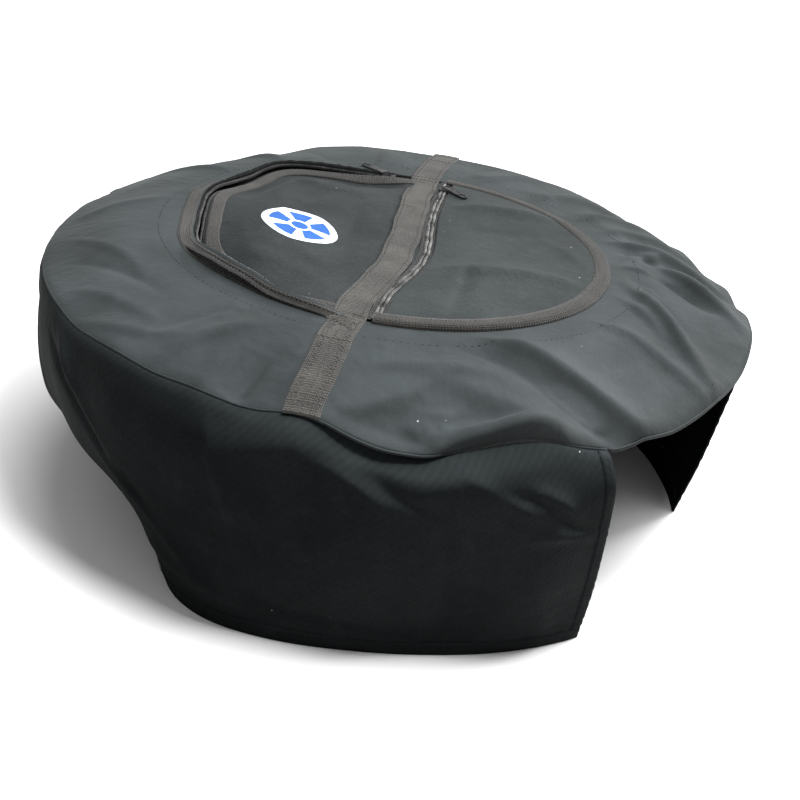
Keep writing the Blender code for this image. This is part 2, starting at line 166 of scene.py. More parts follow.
def fold(x, y, line):
    """One ridge or dent: (x0, y0, x1, y1, bow, width, height).

    It fades out at both ends and is steeper on its right.
    """
    x0, y0, x1, y1, bow, width, height = line
    dx = x1 - x0
    dy = y1 - y0
    length = np.hypot(dx, dy)
    along = ((x - x0) * dx + (y - y0) * dy) / length ** 2
    across = ((y - y0) * dx - (x - x0) * dy) / length
    inside = np.clip(along, 0.0, 1.0)
    across = across - bow * 4.0 * inside * (1.0 - inside)
    beyond = (along - inside) * length
    fade = np.sin(pi * np.clip(inside * 0.84 + 0.08, 0.0, 1.0)) ** 0.8
    side = np.where(across > 0.0, width * 1.35, width * 0.6)
    crest = 0.16 * width
    reach = np.sqrt((across / side) ** 2 + (beyond / width) ** 2 + (crest / width) ** 2) - crest / width
    return height * fade * np.exp(-1.25 * reach)


def in_metres(lines, *units):
    """The rows of a table, with each column divided by its unit."""
    return (np.array(lines, float) / units).tolist()


def ripple(x, y, seeds, size, height):
    """Slow random-looking unevenness from crossed waves with fixed phases."""
    total = np.zeros_like(np.asarray(x, float))
    for seed in seeds:
        angle = seed * 2.39996
        wave = 2.0 * pi / (size * (0.7 + 0.35 * (seed % 4)))
        total = total + np.sin((x * cos(angle) + y * sin(angle)) * wave + seed * 1.7)
    return height * total / len(seeds)


# Each row is x, y, x, y in millimetres and bow, width, height in tenths of one.
FACE_FOLDS = in_metres([
    # Left side of the face
    (-262, -105, -180, -172, 60, 120, 30), (-245, -149, -160, -196, 40, 90, -22),
    (-225, -200, -150, -236, 30, 110, 26), (-206, -243, -120, -256, -40, 100, 30),
    (-125, -280, -66, -228, 40, 140, 56), (-150, -262, -100, -215, 20, 100, -28),
    (-60, -318, -46, -262, 20, 90, -62), (-90, -306, -78, -262, 0, 90, 30),
    (-290, -50, -215, 0, 40, 180, 34), (-285, 40, -205, 50, -60, 160, -34),
    (-262, 105, -190, 100, 40, 160, 40), (-215, 200, -150, 160, 40, 150, 44),
    (-150, 255, -100, 190, -40, 140, -40), (-75, 290, -60, 200, 20, 120, 46),
    (-40, 300, -32, 215, 10, 100, -30),
    # Right side of the face
    (12, -306, 80, -240, -80, 160, 64), (30, -250, 125, -228, 30, 120, 40),
    (60, -312, 128, -262, 60, 120, -60), (128, -294, 176, -252, 20, 120, 60),
    (66, -172, 278, -228, 0, 170, 115), (100, -206, 260, -246, 0, 140, -50),
    (60, -244, 190, -266, 20, 200, 40), (184, -100, 292, -150, 40, 120, 46),
    (186, 98, 292, 70, -20, 100, 105), (196, 74, 284, 52, -10, 70, -60), (200, 58, 236, 78, 20, 80, 60),
    (224, 72, 308, -18, 40, 100, 110), (214, 48, 280, -8, 20, 70, -60), (194, 18, 292, -134, -50, 100, 105),
    (206, 22, 270, -80, -10, 70, -70), (190, 40, 250, 30, 20, 70, 50), (190, -30, 240, -90, 40, 90, 45),
    (176, 120, 262, 152, 20, 120, 74), (150, 145, 236, 200, 40, 140, 70),
    (134, 158, 190, 230, 20, 100, -50), (100, 180, 190, 242, 60, 180, 70), (40, 205, 130, 272, 60, 180, 66),
    (16, 210, 50, 296, 20, 120, -40),
], MM, MM, MM, MM, TENTH, TENTH, TENTH)
LID_FOLDS = in_metres([
    (-150, 85, -112, 0, 60, 120, 30), (-140, 120, -40, 110, -80, 140, 40),
    (-125, -100, -45, -125, 60, 180, 26), (-150, 20, -120, -80, 40, 160, -24),
    (-60, 90, -45, -30, 40, 140, -22), (-100, 60, -60, 150, 40, 140, -24),
    (-80, -60, -35, -100, -40, 120, 22),
], MM, MM, MM, MM, TENTH, TENTH, TENTH)
POCKET_FOLDS = in_metres([
    (20, 104, 152, 121, 40, 180, 62), (28, -66, 166, -38, 50, 160, 78), (67, -50, 67, -150, 20, 90, -44),
    (82, -60, 78, -140, 20, 120, 26), (30, 40, 120, 60, 60, 200, -26), (120, 60, 165, 10, 30, 140, 26),
], MM, MM, MM, MM, TENTH, TENTH, TENTH)


def sum_folds(x, y, lines):
    total = np.zeros_like(np.asarray(x, float))
    for line in lines:
        total = total + fold(x, y, line)
    return total


def face_height(x, y):
    """The top of the face's cloth."""
    radius = np.hypot(x, y)
    azimuth = azimuth_of(x, y)
    edge = rim_radius(azimuth)
    t = np.clip((radius - CROWN_RADIUS) / (edge - CROWN_RADIUS), 0.0, 1.2)
    drop = (CROWN - rim_height(azimuth)) * (1.0 - np.cos(t * pi / 2.0))
    free = np.clip((radius - 0.196) / 0.03, 0.0, 1.0) * np.clip((edge - radius) / 0.012 + 0.25, 0.25, 1.0)
    uneven = ripple(x, y, (1, 2, 3, 5, 8), 0.075, 0.002) + sum_folds(x, y, FACE_FOLDS) * 1.15
    near_strap = np.exp(-((x - STRAP_MIDDLE) / 0.022) ** 2)
    outside = np.maximum(radius - zip_radius(azimuth) - CLOTH_EDGE, 0.0)
    lip = face_lip(azimuth) * np.exp(-outside / 0.0052)
    return CROWN - drop + uneven * free * (1.0 - 0.75 * near_strap) + lip


def lid_height(x, y):
    """The top of the lid's cloth."""
    radius = np.hypot(x, y)
    azimuth = azimuth_of(x, y)
    inside = np.maximum(zip_radius(azimuth) - CLOTH_EDGE - radius, 0.0)
    free = np.clip(inside / 0.035, 0.0, 1.0) * np.clip((STRAP_LEFT - x) / 0.03, 0.0, 1.0)
    uneven = ripple(x, y, (1, 4, 6, 9), 0.085, 0.0012) + sum_folds(x, y, LID_FOLDS)
    hump = 0.0105 * np.exp(-((x + 0.128) / 0.034) ** 2 - ((y + 0.04) / 0.065) ** 2)
    dip = -0.005 * np.exp(-((x + 0.05) / 0.022) ** 2 - ((y + 0.005) / 0.075) ** 2)
    trough = lid_trough(azimuth) * np.exp(-((inside - 0.021) / 0.0115) ** 2)
    lip = lid_lip(azimuth) * np.exp(-inside / 0.02)
    return CROWN + (uneven + 0.0012) * free + (hump + dip) * free ** 0.6 + lip - trough


def zip_bow(y):
    """How far the straight zip bows to the right between the slider's two ends."""
    u = np.clip((0.158 - np.asarray(y, float)) / 0.305, 0.0, 1.0)
    return 0.0135 * np.sin(pi * u ** 1.55) ** 2


def strap_bow(y):
    """How far the strap bows to the right: it runs back to the near rim in a slower curve than the zip."""
    places = np.array((-330, -300, -250, -200, -165, -135, -110, -70, -40, 0, 40, 80, 120, 160, 200, 260,
                       330))
    amounts = np.array((5, 10, 20, 28, 26, 36, 84, 130, 138, 120, 90, 55, 25, 8, 0, 15, 35))
    total = np.zeros_like(np.asarray(y, float))
    for shift in (-0.02, -0.01, 0.0, 0.01, 0.02):
        total = total + np.interp(np.asarray(y, float) + shift, places / MM, amounts / TENTH)
    return total / 5.0


def pocket_height(x, y):
    """The top of the pocket's cloth."""
    radius = np.hypot(x, y)
    free = np.clip((POCKET_RADIUS - radius) / 0.03, 0.0, 1.0)
    free = free * np.clip((x - POCKET_ZIP_X - zip_bow(y) - 0.008) / 0.03, 0.0, 1.0)
    uneven = ripple(x, y, (2, 3, 7, 9), 0.09, 0.0008) + sum_folds(x, y, POCKET_FOLDS) + 0.0005
    return POCKET_TOP - 0.0006 + uneven * free


# ---------------------------------------------------------------- materials

def set_inputs(tree, node, inputs):
    """Gives each input its value, or a link where the value is a socket."""
    for key, value in inputs.items():
        if isinstance(value, bpy.types.NodeSocket):
            tree.links.new(value, node.inputs[key])
        else:
            node.inputs[key].default_value = value


def add_node(tree, kind, inputs, **settings):
    node = tree.nodes.new(kind)
    for key, value in settings.items():
        setattr(node, key, value)
    set_inputs(tree, node, inputs)
    return node


def new_material(name):
    """A material, its node tree, and the UV and object coordinates in it."""
    material = bpy.data.materials.new(name)
    material.use_nodes = True
    tree = material.node_tree
    uv = add_node(tree, "ShaderNodeUVMap", {}, uv_map="UVMap").outputs["UV"]
    where = add_node(tree, "ShaderNodeTexCoord", {}).outputs["Object"]
    return material, tree, uv, where


def set_shader(tree, inputs):
    set_inputs(tree, tree.nodes["Principled BSDF"], inputs)


def colour_mix(tree, factor, a, b):
    """Mixes two colours, given as tuples or sockets, by a socket or a number."""
    a, b = ((*colour, 1.0) if isinstance(colour, tuple) else colour for colour in (a, b))
    return add_node(tree, "ShaderNodeMix", {0: factor, 6: a, 7: b}, data_type="RGBA").outputs[2]


def ramp(tree, value, low, high, out_low=0.0, out_high=1.0):
    return add_node(tree, "ShaderNodeMapRange", {"Value": value, "From Min": low, "From Max": high,
                                                 "To Min": out_low, "To Max": out_high}).outputs["Result"]


def noise(tree, where, scale, detail, roughness):
    return add_node(tree, "ShaderNodeTexNoise", {"Vector": where, "Scale": scale, "Detail": detail,
                                                 "Roughness": roughness}).outputs["Fac"]


def waves(tree, uv, direction, scale, distortion, detail=2.0, detail_scale=1.0):
    return add_node(tree, "ShaderNodeTexWave", {"Vector": uv, "Scale": scale, "Distortion": distortion,
                                                "Detail": detail, "Detail Scale": detail_scale},
                    wave_type="BANDS", bands_direction=direction).outputs["Fac"]


def calculate(tree, operation, a, b):
    return add_node(tree, "ShaderNodeMath", {0: a, 1: b}, operation=operation).outputs[0]


def relief(tree, strength, distance, height, below=None):
    """A bump in the surface, over the bump below it."""
    inputs = {"Strength": strength, "Distance": distance, "Height": height}
    if below:
        inputs["Normal"] = below
    return add_node(tree, "ShaderNodeBump", inputs).outputs["Normal"]


def cloth_material(name, colour, dusty, weave=0.0019, bump=0.3, sheen=0.12, specks=1.0, dust_scale=9.0,
                   specular=0.12, settled=None, faces_up=(0.18, 0.8), lines=0.0):
    """Coated twill: a diagonal weave, faded and dusty patches, fine creases and specks of lint.

    settled is a colour of painted light for the parts that face up: it makes them look lit from above and
    leaves the steep sides of folds darker.
    faces_up is how far up they have to face, and lines is how strongly the twill's lines darken the colour.
    """
    material, tree, uv, where = new_material(name)
    fade = noise(tree, where, dust_scale, 5.0, 0.62)
    grain = noise(tree, where, 420.0, 3.0, 0.7)
    fine = noise(tree, where, 46.0, 6.0, 0.6)
    twill = waves(tree, uv, "DIAGONAL", 0.5 / (pi * weave), 0.6, 1.0, 2.0)
    cross = waves(tree, uv, "X", 0.36 / (pi * weave), 0.4)
    faded = ramp(tree, fade, 0.38, 0.68)
    darker = tuple(c * 0.62 for c in colour)
    base = colour_mix(tree, faded, colour, dusty)
    base = colour_mix(tree, ramp(tree, grain, 0.35, 0.65, 0.55, 0.0), base, darker)
    base = colour_mix(tree, ramp(tree, fine, 0.56, 0.74, 0.0, 0.5), base, dusty)
    # Painted light: faces that point up get the paler settled colour and the steep sides of folds keep the
    # darker one, as if lit from above.
    if settled:
        normal = add_node(tree, "ShaderNodeNewGeometry", {}).outputs["Normal"]
        upward = add_node(tree, "ShaderNodeSeparateXYZ", {"Vector": normal}).outputs["Z"]
        paler = tuple(c * 1.5 for c in settled)
        patchy = colour_mix(tree, faded, settled, paler)
        patchy = colour_mix(tree, ramp(tree, fine, 0.52, 0.74, 0.0, 0.6), patchy, paler)
        base = colour_mix(tree, ramp(tree, upward, *faces_up), base, patchy)
    if lines:
        base = colour_mix(tree, ramp(tree, twill, 0.25, 0.75, 0.0, lines), base, (0.002, 0.0025, 0.0026))
    lint = add_node(tree, "ShaderNodeTexVoronoi", {"Vector": where, "Scale": 95.0, "Randomness": 1.0})
    tint = add_node(tree, "ShaderNodeTexWhiteNoise", {"Vector": lint.outputs["Position"]})
    near = ramp(tree, lint.outputs["Distance"], 0.05, 0.09, 1.0, 0.0)
    few = ramp(tree, tint.outputs["Value"], 0.965, 0.985)
    lit = calculate(tree, "MULTIPLY", calculate(tree, "MULTIPLY", near, few), 0.75 * specks)
    base = colour_mix(tree, lit, base, (0.42, 0.42, 0.4))
    weave_bump = relief(tree, bump, 0.0003, calculate(tree, "ADD", twill, cross))
    grain_bump = relief(tree, 0.5, 0.0005, grain, weave_bump)
    set_shader(tree, {"Base Color": base, "Roughness": ramp(tree, fade, 0.3, 0.7, 0.86, 0.7),
                      "Normal": relief(tree, 0.55, 0.0022, fine, grain_bump),
                      "Specular IOR Level": specular, "Sheen Weight": sheen, "Sheen Roughness": 0.45})
    return material


def webbing_material(name, colour, light, rib):
    """Ribbed webbing: cross ribs with a herringbone of yarns, worn lighter on their crests."""
    material, tree, uv, where = new_material(name)
    ribs = waves(tree, uv, "X", 1.0 / (pi * rib), 1.4, 2.0, 1.2)
    yarn = waves(tree, uv, "Y", 1.0 / (pi * 0.0016), 0.8)
    grain = noise(tree, where, 700.0, 3.0, 0.7)
    wear = noise(tree, where, 28.0, 4.0, 0.6)
    both = calculate(tree, "MULTIPLY", ribs, yarn)
    dark = tuple(c * 0.38 for c in colour)
    base = colour_mix(tree, ramp(tree, both, 0.15, 0.8), dark, colour)
    base = colour_mix(tree, ramp(tree, wear, 0.45, 0.72, 0.0, 0.65), base, light)
    base = colour_mix(tree, ramp(tree, grain, 0.4, 0.62, 0.5, 0.0), base, dark)
    set_shader(tree, {"Base Color": base, "Roughness": 0.82,
                      "Normal": relief(tree, 0.9, 0.0009, calculate(tree, "ADD", both, grain)),
                      "Specular IOR Level": 0.25, "Sheen Weight": 0.15, "Sheen Roughness": 0.5})
    return material


def simple_material(name, colour, other, scale, roughness, metallic=0.0, bump=0.3, distance=0.0003,
                    specular=0.5):
    """A plain material with mottled colour, uneven roughness and a fine grain."""
    material, tree, _, where = new_material(name)
    mottle = noise(tree, where, scale, 5.0, 0.65)
    uneven = ramp(tree, mottle, 0.3, 0.7, max(roughness - 0.1, 0.05), roughness + 0.1)
    set_shader(tree, {"Base Color": colour_mix(tree, ramp(tree, mottle, 0.38, 0.66), colour, other),
                      "Roughness": uneven, "Normal": relief(tree, bump, distance, mottle),
                      "Metallic": metallic, "Specular IOR Level": specular})
    return material


# Painted light in both cloths below: settled lightens the parts that face up, as if lit from above.
FACE_CLOTH = cloth_material("face_twill", (0.006, 0.0074, 0.0078), (0.01, 0.012, 0.0125), sheen=0.06,
                            bump=0.12, settled=(0.0235, 0.0282, 0.0293), faces_up=(0.34, 0.985))
# The wall's colours are a darker copy of the face's cloth: painted shade for the wall, which faces sideways,
# away from the light above.
WALL_CLOTH = cloth_material("wall_twill", (0.0046, 0.0056, 0.0059), (0.0085, 0.01, 0.0104), sheen=0.0,
                            dust_scale=6.0, specular=0.03, settled=(0.0165, 0.0198, 0.0205), lines=0.12)
LID_CLOTH = cloth_material("lid_twill", (0.0125, 0.0155, 0.0164), (0.027, 0.031, 0.0322), sheen=0.05,
                           bump=0.12)
POCKET_CLOTH = cloth_material("pocket_twill", (0.0165, 0.0208, 0.0214), (0.0335, 0.0395, 0.0404), sheen=0.06,
                              bump=0.12)
LINING = cloth_material("lining_weave", (0.014, 0.015, 0.016), (0.024, 0.025, 0.026), weave=0.0008,
                        sheen=0.05, specks=0.3)
STRAP_WEB = webbing_material("strap_webbing_weave", (0.05, 0.0465, 0.04), (0.1, 0.094, 0.081), rib=0.0026)
# A darker copy of the strap's webbing: painted shade for the webbing round the opening, on the lid and round
# the pocket.
SHADE_DARKENED_WEB = webbing_material("shade_darkened_webbing_weave", (0.025, 0.023, 0.0195), (0.05, 0.046, 0.038), rib=0.0026)
ZIP_TAPE = webbing_material("zip_tape_weave", (0.005, 0.005, 0.005), (0.012, 0.012, 0.012), rib=0.001)
COIL = simple_material("nylon_coil", (0.018, 0.018, 0.018), (0.075, 0.075, 0.078), 120.0, 0.36)
# The lighter mottled patches on this coil are painted highlights that stand for glints along the pocket's
# zip.
GLINT_PAINTED_COIL = simple_material("glint_painted_nylon_coil", (0.03, 0.03, 0.03), (0.27, 0.27, 0.26), 60.0, 0.32)
ROLL_CLOTH = simple_material("rolled_edge_cloth", (0.004, 0.0044, 0.0046), (0.01, 0.0108, 0.011), 300.0,
                             0.85, bump=0.6, distance=0.0006, specular=0.08)
THREAD = simple_material("sewing_thread", (0.02, 0.02, 0.02), (0.045, 0.044, 0.042), 260.0, 0.6)
DARK_THREAD = simple_material("dark_thread", (0.0035, 0.004, 0.0042), (0.008, 0.009, 0.009), 260.0, 0.8,
                              specular=0.05)
METAL = simple_material("dark_nickel", (0.07, 0.07, 0.075), (0.26, 0.26, 0.27), 120.0, 0.33, metallic=1.0,
                        bump=0.25, distance=0.0002)
WHITE_FILM = simple_material("badge_white_film", (0.66, 0.73, 0.8), (0.74, 0.8, 0.87), 60.0, 0.38, bump=0.1)
BLUE_FILM = simple_material("badge_blue_film", (0.01, 0.075, 0.3), (0.016, 0.1, 0.37), 60.0, 0.38, bump=0.1)


# ---------------------------------------------------------------- meshes

def add_object(name, data):
    obj = bpy.data.objects.new(name, data)
    bpy.context.scene.collection.objects.link(obj)
    return obj


def make_object(name, verts, faces, material, uvs=None, smooth=True):
    """uvs is one (u, v) per face corner, in metres."""
    mesh = bpy.data.meshes.new(name)
    mesh.from_pydata([tuple(v) for v in verts], [], [tuple(f) for f in faces])
    mesh.materials.append(material)
    if uvs is not None:
        layer = mesh.uv_layers.new(name="UVMap")
        layer.data.foreach_set("uv", np.asarray(uvs, np.float32).ravel())
    if smooth:
        mesh.polygons.foreach_set("use_smooth", np.ones(len(mesh.polygons), bool))
    mesh.update()
    return add_object(name, mesh)


def xyz(x, y, z):
    """One array of points from their coordinates."""
    return np.stack(np.broadcast_arrays(x, y, z), axis=-1)


def grid_object(name, points, material, closed=False):
    """A sheet from a (rows, columns, 3) array. closed joins its last column to the first."""
    rows, columns = points.shape[:2]
    index = np.arange(rows * columns).reshape(rows, columns)
    uv = grid_uv(points, closed)
    if closed:
        index = np.concatenate([index, index[:, :1]], axis=1)
    a = index[:-1, :-1].ravel()
    b = index[:-1, 1:].ravel()
    c = index[1:, 1:].ravel()
    d = index[1:, :-1].ravel()
    corners = np.stack([uv[:-1, :-1], uv[:-1, 1:], uv[1:, 1:], uv[1:, :-1]], axis=2)
    quads = np.stack([a, b, c, d], axis=1)
    return make_object(name, points.reshape(-1, 3), quads, material, corners.reshape(-1, 2))


def grid_uv(points, closed):
    """Arc lengths along the rows and the columns, in metres."""
    if closed:
        points = np.concatenate([points, points[:, :1]], axis=1)
    middle = points[points.shape[0] // 2]
    along = np.concatenate([[0.0], np.cumsum(np.linalg.norm(np.diff(middle, axis=0), axis=1))])
    steps = np.linalg.norm(np.diff(points, axis=0), axis=2).mean(axis=1)
    down = np.concatenate([[0.0], np.cumsum(steps)])
    u, v = np.meshgrid(along, down)
    return np.stack([u, v], axis=2)


def thicken(obj, thickness, offset=0.0, subdivide=1):
    if subdivide:
        modifier = obj.modifiers.new("Smooth", "SUBSURF")
        modifier.levels = subdivide
        modifier.render_levels = subdivide
        modifier.boundary_smooth = "PRESERVE_CORNERS"
    modifier = obj.modifiers.new("Thickness", "SOLIDIFY")
    modifier.thickness = thickness
    modifier.offset = offset
    return obj


def strip(name, edge_a, edge_b, rows, thickness, material, crown=0.0):
    """A tape between two edge curves of (n, 3) points, with a slight crown across it."""
    t = np.linspace(0.0, 1.0, rows)[:, None, None]
    points = edge_a[None] * (1.0 - t) + edge_b[None] * t
    points[..., 2] += crown * (1.0 - (2.0 * t[..., 0] - 1.0) ** 2)
    obj = grid_object(name, points, material)
    return thicken(obj, thickness, subdivide=0)


def frames_along(path, closed=False):
    """The sideways and the upward direction at each point of a path."""
    if closed:
        tangent = np.roll(path, -1, axis=0) - np.roll(path, 1, axis=0)
    else:
        tangent = np.gradient(path, axis=0)
    tangent /= np.linalg.norm(tangent, axis=1)[:, None]
    up = np.array([0.0, 0.0, 1.0])
    side = np.cross(tangent, up)
    side /= np.maximum(np.linalg.norm(side, axis=1), 1e-9)[:, None]
    return side, np.cross(side, tangent)


def tube(name, path, radius, material, sides=8, closed=False):
    """A round tube along a path, with capped ends. radius is a number, or one for each point."""
    side, up = frames_along(path, closed)
    angle = np.arange(sides) * 2.0 * pi / sides
    ring = side[None] * np.cos(angle)[:, None, None] + up[None] * np.sin(angle)[:, None, None]
    ring = ring * np.broadcast_to(radius, len(path))[None, :, None]
    points = (path[None] + ring).transpose(1, 0, 2)
    count = len(path)
    index = np.arange(count * sides).reshape(count, sides)
    if closed:
        index = np.concatenate([index, index[:1]], axis=0)
    around = np.concatenate([index, index[:, :1]], axis=1)
    quads = np.stack([around[:-1, :-1], around[:-1, 1:], around[1:, 1:], around[1:, :-1]], axis=2)
    faces = [tuple(f) for f in quads.reshape(-1, 4)]
    if not closed:
        faces += [tuple(index[0][::-1]), tuple(index[-1])]
    return make_object(name, points.reshape(-1, 3), faces, material)


def resample(path, step, closed=False):
    """The same path with points at even distances of about step."""
    if closed:
        path = np.concatenate([path, path[:1]])
    length = np.concatenate([[0.0], np.cumsum(np.linalg.norm(np.diff(path, axis=0), axis=1))])
    count = max(2, int(round(length[-1] / step)) + 1)
    at = np.linspace(0.0, length[-1], count)
    even = np.stack([np.interp(at, length, path[:, k]) for k in range(3)], axis=1)
    return even[:-1] if closed else even


def coil(name, path, material):
    """A zip's nylon coil: a helix of thin monofilament along a path."""
    radius = 0.001
    pitch = 0.0017
    wire = 0.00036
    steps_each = 9
    even = resample(path, pitch / steps_each)
    side, up = frames_along(even)
    turn = np.arange(len(even)) * 2.0 * pi / steps_each
    helix = even + radius * (side * np.cos(turn)[:, None] * 1.15 + up * np.sin(turn)[:, None] * 0.85)
    return tube(name, helix, wire, material, sides=4)


def stitches(name, paths, material, length=0.0027, gap=0.0013, radius=0.00036):
    """Rows of separate raised stitches along paths."""
    verts = []
    faces = []
    shape = np.array([(-0.5, 0.3), (-0.3, 1.0), (0.3, 1.0), (0.5, 0.3)])
    angle = np.arange(5) * 2.0 * pi / 5
    start = 0
    for path in paths:
        even = resample(np.asarray(path, float), length + gap)
        side, up = frames_along(even)
        middles = (even[:-1] + even[1:]) / 2.0
        way = even[1:] - even[:-1]
        way /= np.linalg.norm(way, axis=1)[:, None]
        for k in range(len(middles)):
            for place, width in shape:
                centre = middles[k] + way[k] * length * place
                for a in angle:
                    verts.append(centre + radius * width * (side[k] * cos(a) + up[k] * sin(a)))
            for i in range(3):
                for j in range(5):
                    n = (j + 1) % 5
                    low = start + i * 5
                    faces.append((low + j, low + n, low + 5 + n, low + 5 + j))
            faces.append(tuple(start + j for j in range(4, -1, -1)))
            faces.append(tuple(start + 15 + j for j in range(5)))
            start += 20
    return make_object(name, verts, faces, material)


class Ground:
    """Looks up the height of finished cloth under a point."""

    def __init__(self, *objects):
        bpy.context.view_layer.update()
        verts = []
        faces = []
        for obj in objects:
            shift = len(verts)
            verts += [v.co.copy() for v in obj.data.vertices]
            faces += [[shift + i for i in p.vertices] for p in obj.data.polygons]
        self.tree = BVHTree.FromPolygons(verts, faces)

    def __call__(self, x, y, default=CROWN):
        out = []
        for a, b in zip(np.ravel(x), np.ravel(y)):
            hit = self.tree.ray_cast(Vector((a, b, 0.4)), Vector((0.0, 0.0, -1.0)))[0]
            out.append(default if hit is None else hit.z)
        return np.array(out).reshape(np.shape(x))


def polar(radius, azimuth):
    azimuth = np.radians(azimuth)
    return radius * np.cos(azimuth), radius * np.sin(azimuth)


# ---------------------------------------------------------------- the cover's cloth

wall_bulge = ring_curve([
    (5, 80), (60, 80), (120, 100), (150, 110), (175, 60), (200, 15), (215, 35), (224, 70), (235, 110),
    (250, 140), (262, 180), (274, 210), (285, 210), (294, 210), (302, 240), (307, 200), (311, 130),
    (358, 80),
], blur=4.0, unit=TENTH)
shelf_drop = ring_curve([
    (5, .3), (120, .3), (180, .32), (225, .26), (240, .3), (252, .26), (262, .15), (268, .11), (272, .18),
    (276, .25), (279, .24), (283, .17), (287, .12), (290, .12), (294, .18), (298, .25), (302, .3),
    (305, .3), (308, .24), (311, .16), (358, .3),
], blur=1.6)
foot_radius = ring_curve([
    (5, 2980), (90, 2940), (150, 2840), (180, 2720), (200, 2480), (215, 2220), (226, 2170), (234, 2360),
    (241, 2680), (248, 2960), (256, 3080), (266, 3060), (278, 3000), (290, 2990), (303, 3030), (313, 3060),
    (316, 3070), (358, 3000),
], blur=3.0, unit=TENTH)

tuck = ring_curve([
    (5, 1.3), (90, 1.3), (150, 1.4), (185, 1.7), (222, 1.9), (236, 1.9), (250, 1.4), (262, 1), (311, 1),
    (358, 1.2),
], blur=6.0)
swept_under = ring_curve([
    (5, 0), (180, 0), (198, .35), (208, .5), (232, .5), (242, .2), (250, 0), (358, 0),
], blur=4.0)

# Each row is azimuth, height, azimuth, height in degrees and millimetres, and bow, width, depth in tenths.
WALL_FOLDS = in_metres([
    (289, 186, 300, 148, 30, 50, 42), (278, 176, 287, 150, -30, 60, -30), (272, 182, 281, 150, 30, 65, 34),
    (293, 176, 302, 160, -20, 40, -32), (223, 182, 238, 120, 40, 55, -34), (228, 178, 244, 95, 50, 60, 34),
    (232, 150, 250, 70, 40, 55, -28), (236, 120, 255, 45, 40, 70, 30), (226, 196, 232, 160, 20, 50, 30),
    (256, 195, 262, 90, 30, 120, 30), (268, 190, 274, 60, -30, 110, -30), (276, 150, 282, 30, 30, 160, 26),
    (288, 160, 292, 40, -20, 160, -24), (299, 172, 306, 148, 30, 45, 50),
    (303, 150, 309, 128, -40, 45, -40), (300, 130, 310, 122, 40, 60, 30), (296, 120, 308, 20, 40, 140, 30),
    (205, 170, 218, 60, 40, 120, 34), (190, 180, 200, 50, 30, 140, -36), (170, 185, 182, 40, -30, 130, 36),
    (150, 170, 158, 50, 30, 150, -34), (130, 190, 138, 30, 20, 140, 34), (108, 185, 118, 50, -30, 130, -30),
    (85, 190, 95, 40, 30, 150, 34), (62, 180, 70, 60, 30, 130, -32), (40, 185, 48, 30, 20, 140, 34),
    (18, 170, 26, 50, 30, 130, -30), (243, 45, 262, 30, 30, 100, 28), (265, 40, 285, 28, -30, 100, -24),
], 1, MM, 1, MM, TENTH, TENTH, TENTH)


def wall_point(azimuth, v):
    """A point of the wall. v runs from 0 at the rim to 1 at the foot."""
    top_radius = rim_radius(azimuth)
    top = rim_height(azimuth)
    height = top * (1.0 - v)
    low = np.clip((v - 0.46) / 0.5, 0.0, 1.0)
    swept = swept_under(azimuth)
    share = v ** tuck(azimuth) * (1.0 - swept) + low * low * (3.0 - 2.0 * low) * swept
    lean = top_radius + (foot_radius(azimuth) - top_radius) * share
    peak = shelf_drop(azimuth)
    rising = np.sin(pi / 2.0 * np.clip(v / peak, 0.0, 1.0)) ** 0.85
    falling = np.cos(pi / 2.0 * np.clip((v - peak) / (1.0 - peak), 0.0, 1.0))
    radius = lean + wall_bulge(azimuth) * np.where(v < peak, rising, falling)
    free = np.clip(v / 0.1, 0.0, 1.0) * np.clip((1.0 - v) / 0.12 + 0.25, 0.25, 1.0)
    arc = np.radians(azimuth) * RIM_ARC_RADIUS
    front = np.clip((azimuth - 240.0) / 15.0, 0.0, 1.0) * np.clip((318.0 - azimuth) / 5.0, 0.0, 1.0)
    depth = ripple(arc, height, (1, 2, 4, 7), 0.11, 0.0022) * (1.0 - 0.8 * front)
    for a0, z0, a1, z1, bow, width, amount in WALL_FOLDS:
        ends = (radians(a0) * RIM_ARC_RADIUS, z0, radians(a1) * RIM_ARC_RADIUS, z1)
        depth = depth + fold(arc, height, (*ends, bow, width, amount * 1.5))
    radius = radius + depth * free
    return xyz(*polar(radius, azimuth), height)


def cover_grids():
    """The face's and the wall's points, which share the rim's row."""
    azimuth = FIRST_AZIMUTH + COLUMN_STEP * np.arange(COLUMNS)
    inner = zip_radius(azimuth) + CLOTH_EDGE
    outer = rim_radius(azimuth)
    t = np.linspace(0.0, 1.0, FACE_ROWS)[:, None]
    radius = inner[None] + (outer - inner)[None] * t
    x, y = polar(radius, np.broadcast_to(azimuth, radius.shape))
    face = xyz(x, y, face_height(x, y))
    v = np.linspace(0.0, 1.0, WALL_ROWS)[:, None]
    column = np.arange(WALL_COLUMNS + 1) / WALL_COLUMNS
    last = LAST_AZIMUTH + 5.0 * v
    wall_azimuth = FIRST_AZIMUTH + (last - FIRST_AZIMUTH) * column[None]
    wall = wall_point(wall_azimuth, np.broadcast_to(v, wall_azimuth.shape))
    wall[0] = face[-1, :WALL_COLUMNS + 1]
    return face, wall


def tyre_shape():
    """A hidden tyre-shaped form for the cloth to rest on, removed after the simulation."""
    section = [(0.19, 0.02), (0.205, 0.004), (0.22, 0.02), (0.266, 0.08), (0.3, 0.14), (0.313, 0.185),
               (0.3, 0.199), (0.27, 0.214), (0.22, 0.2245), (0.19, 0.2245)]
    azimuth = np.arange(0, 360, 5.0)
    points = np.array([[(r * cos(radians(a)), r * sin(radians(a)), z) for a in azimuth] for r, z in section])
    return grid_object("tyre_shape", points, THREAD, closed=True)


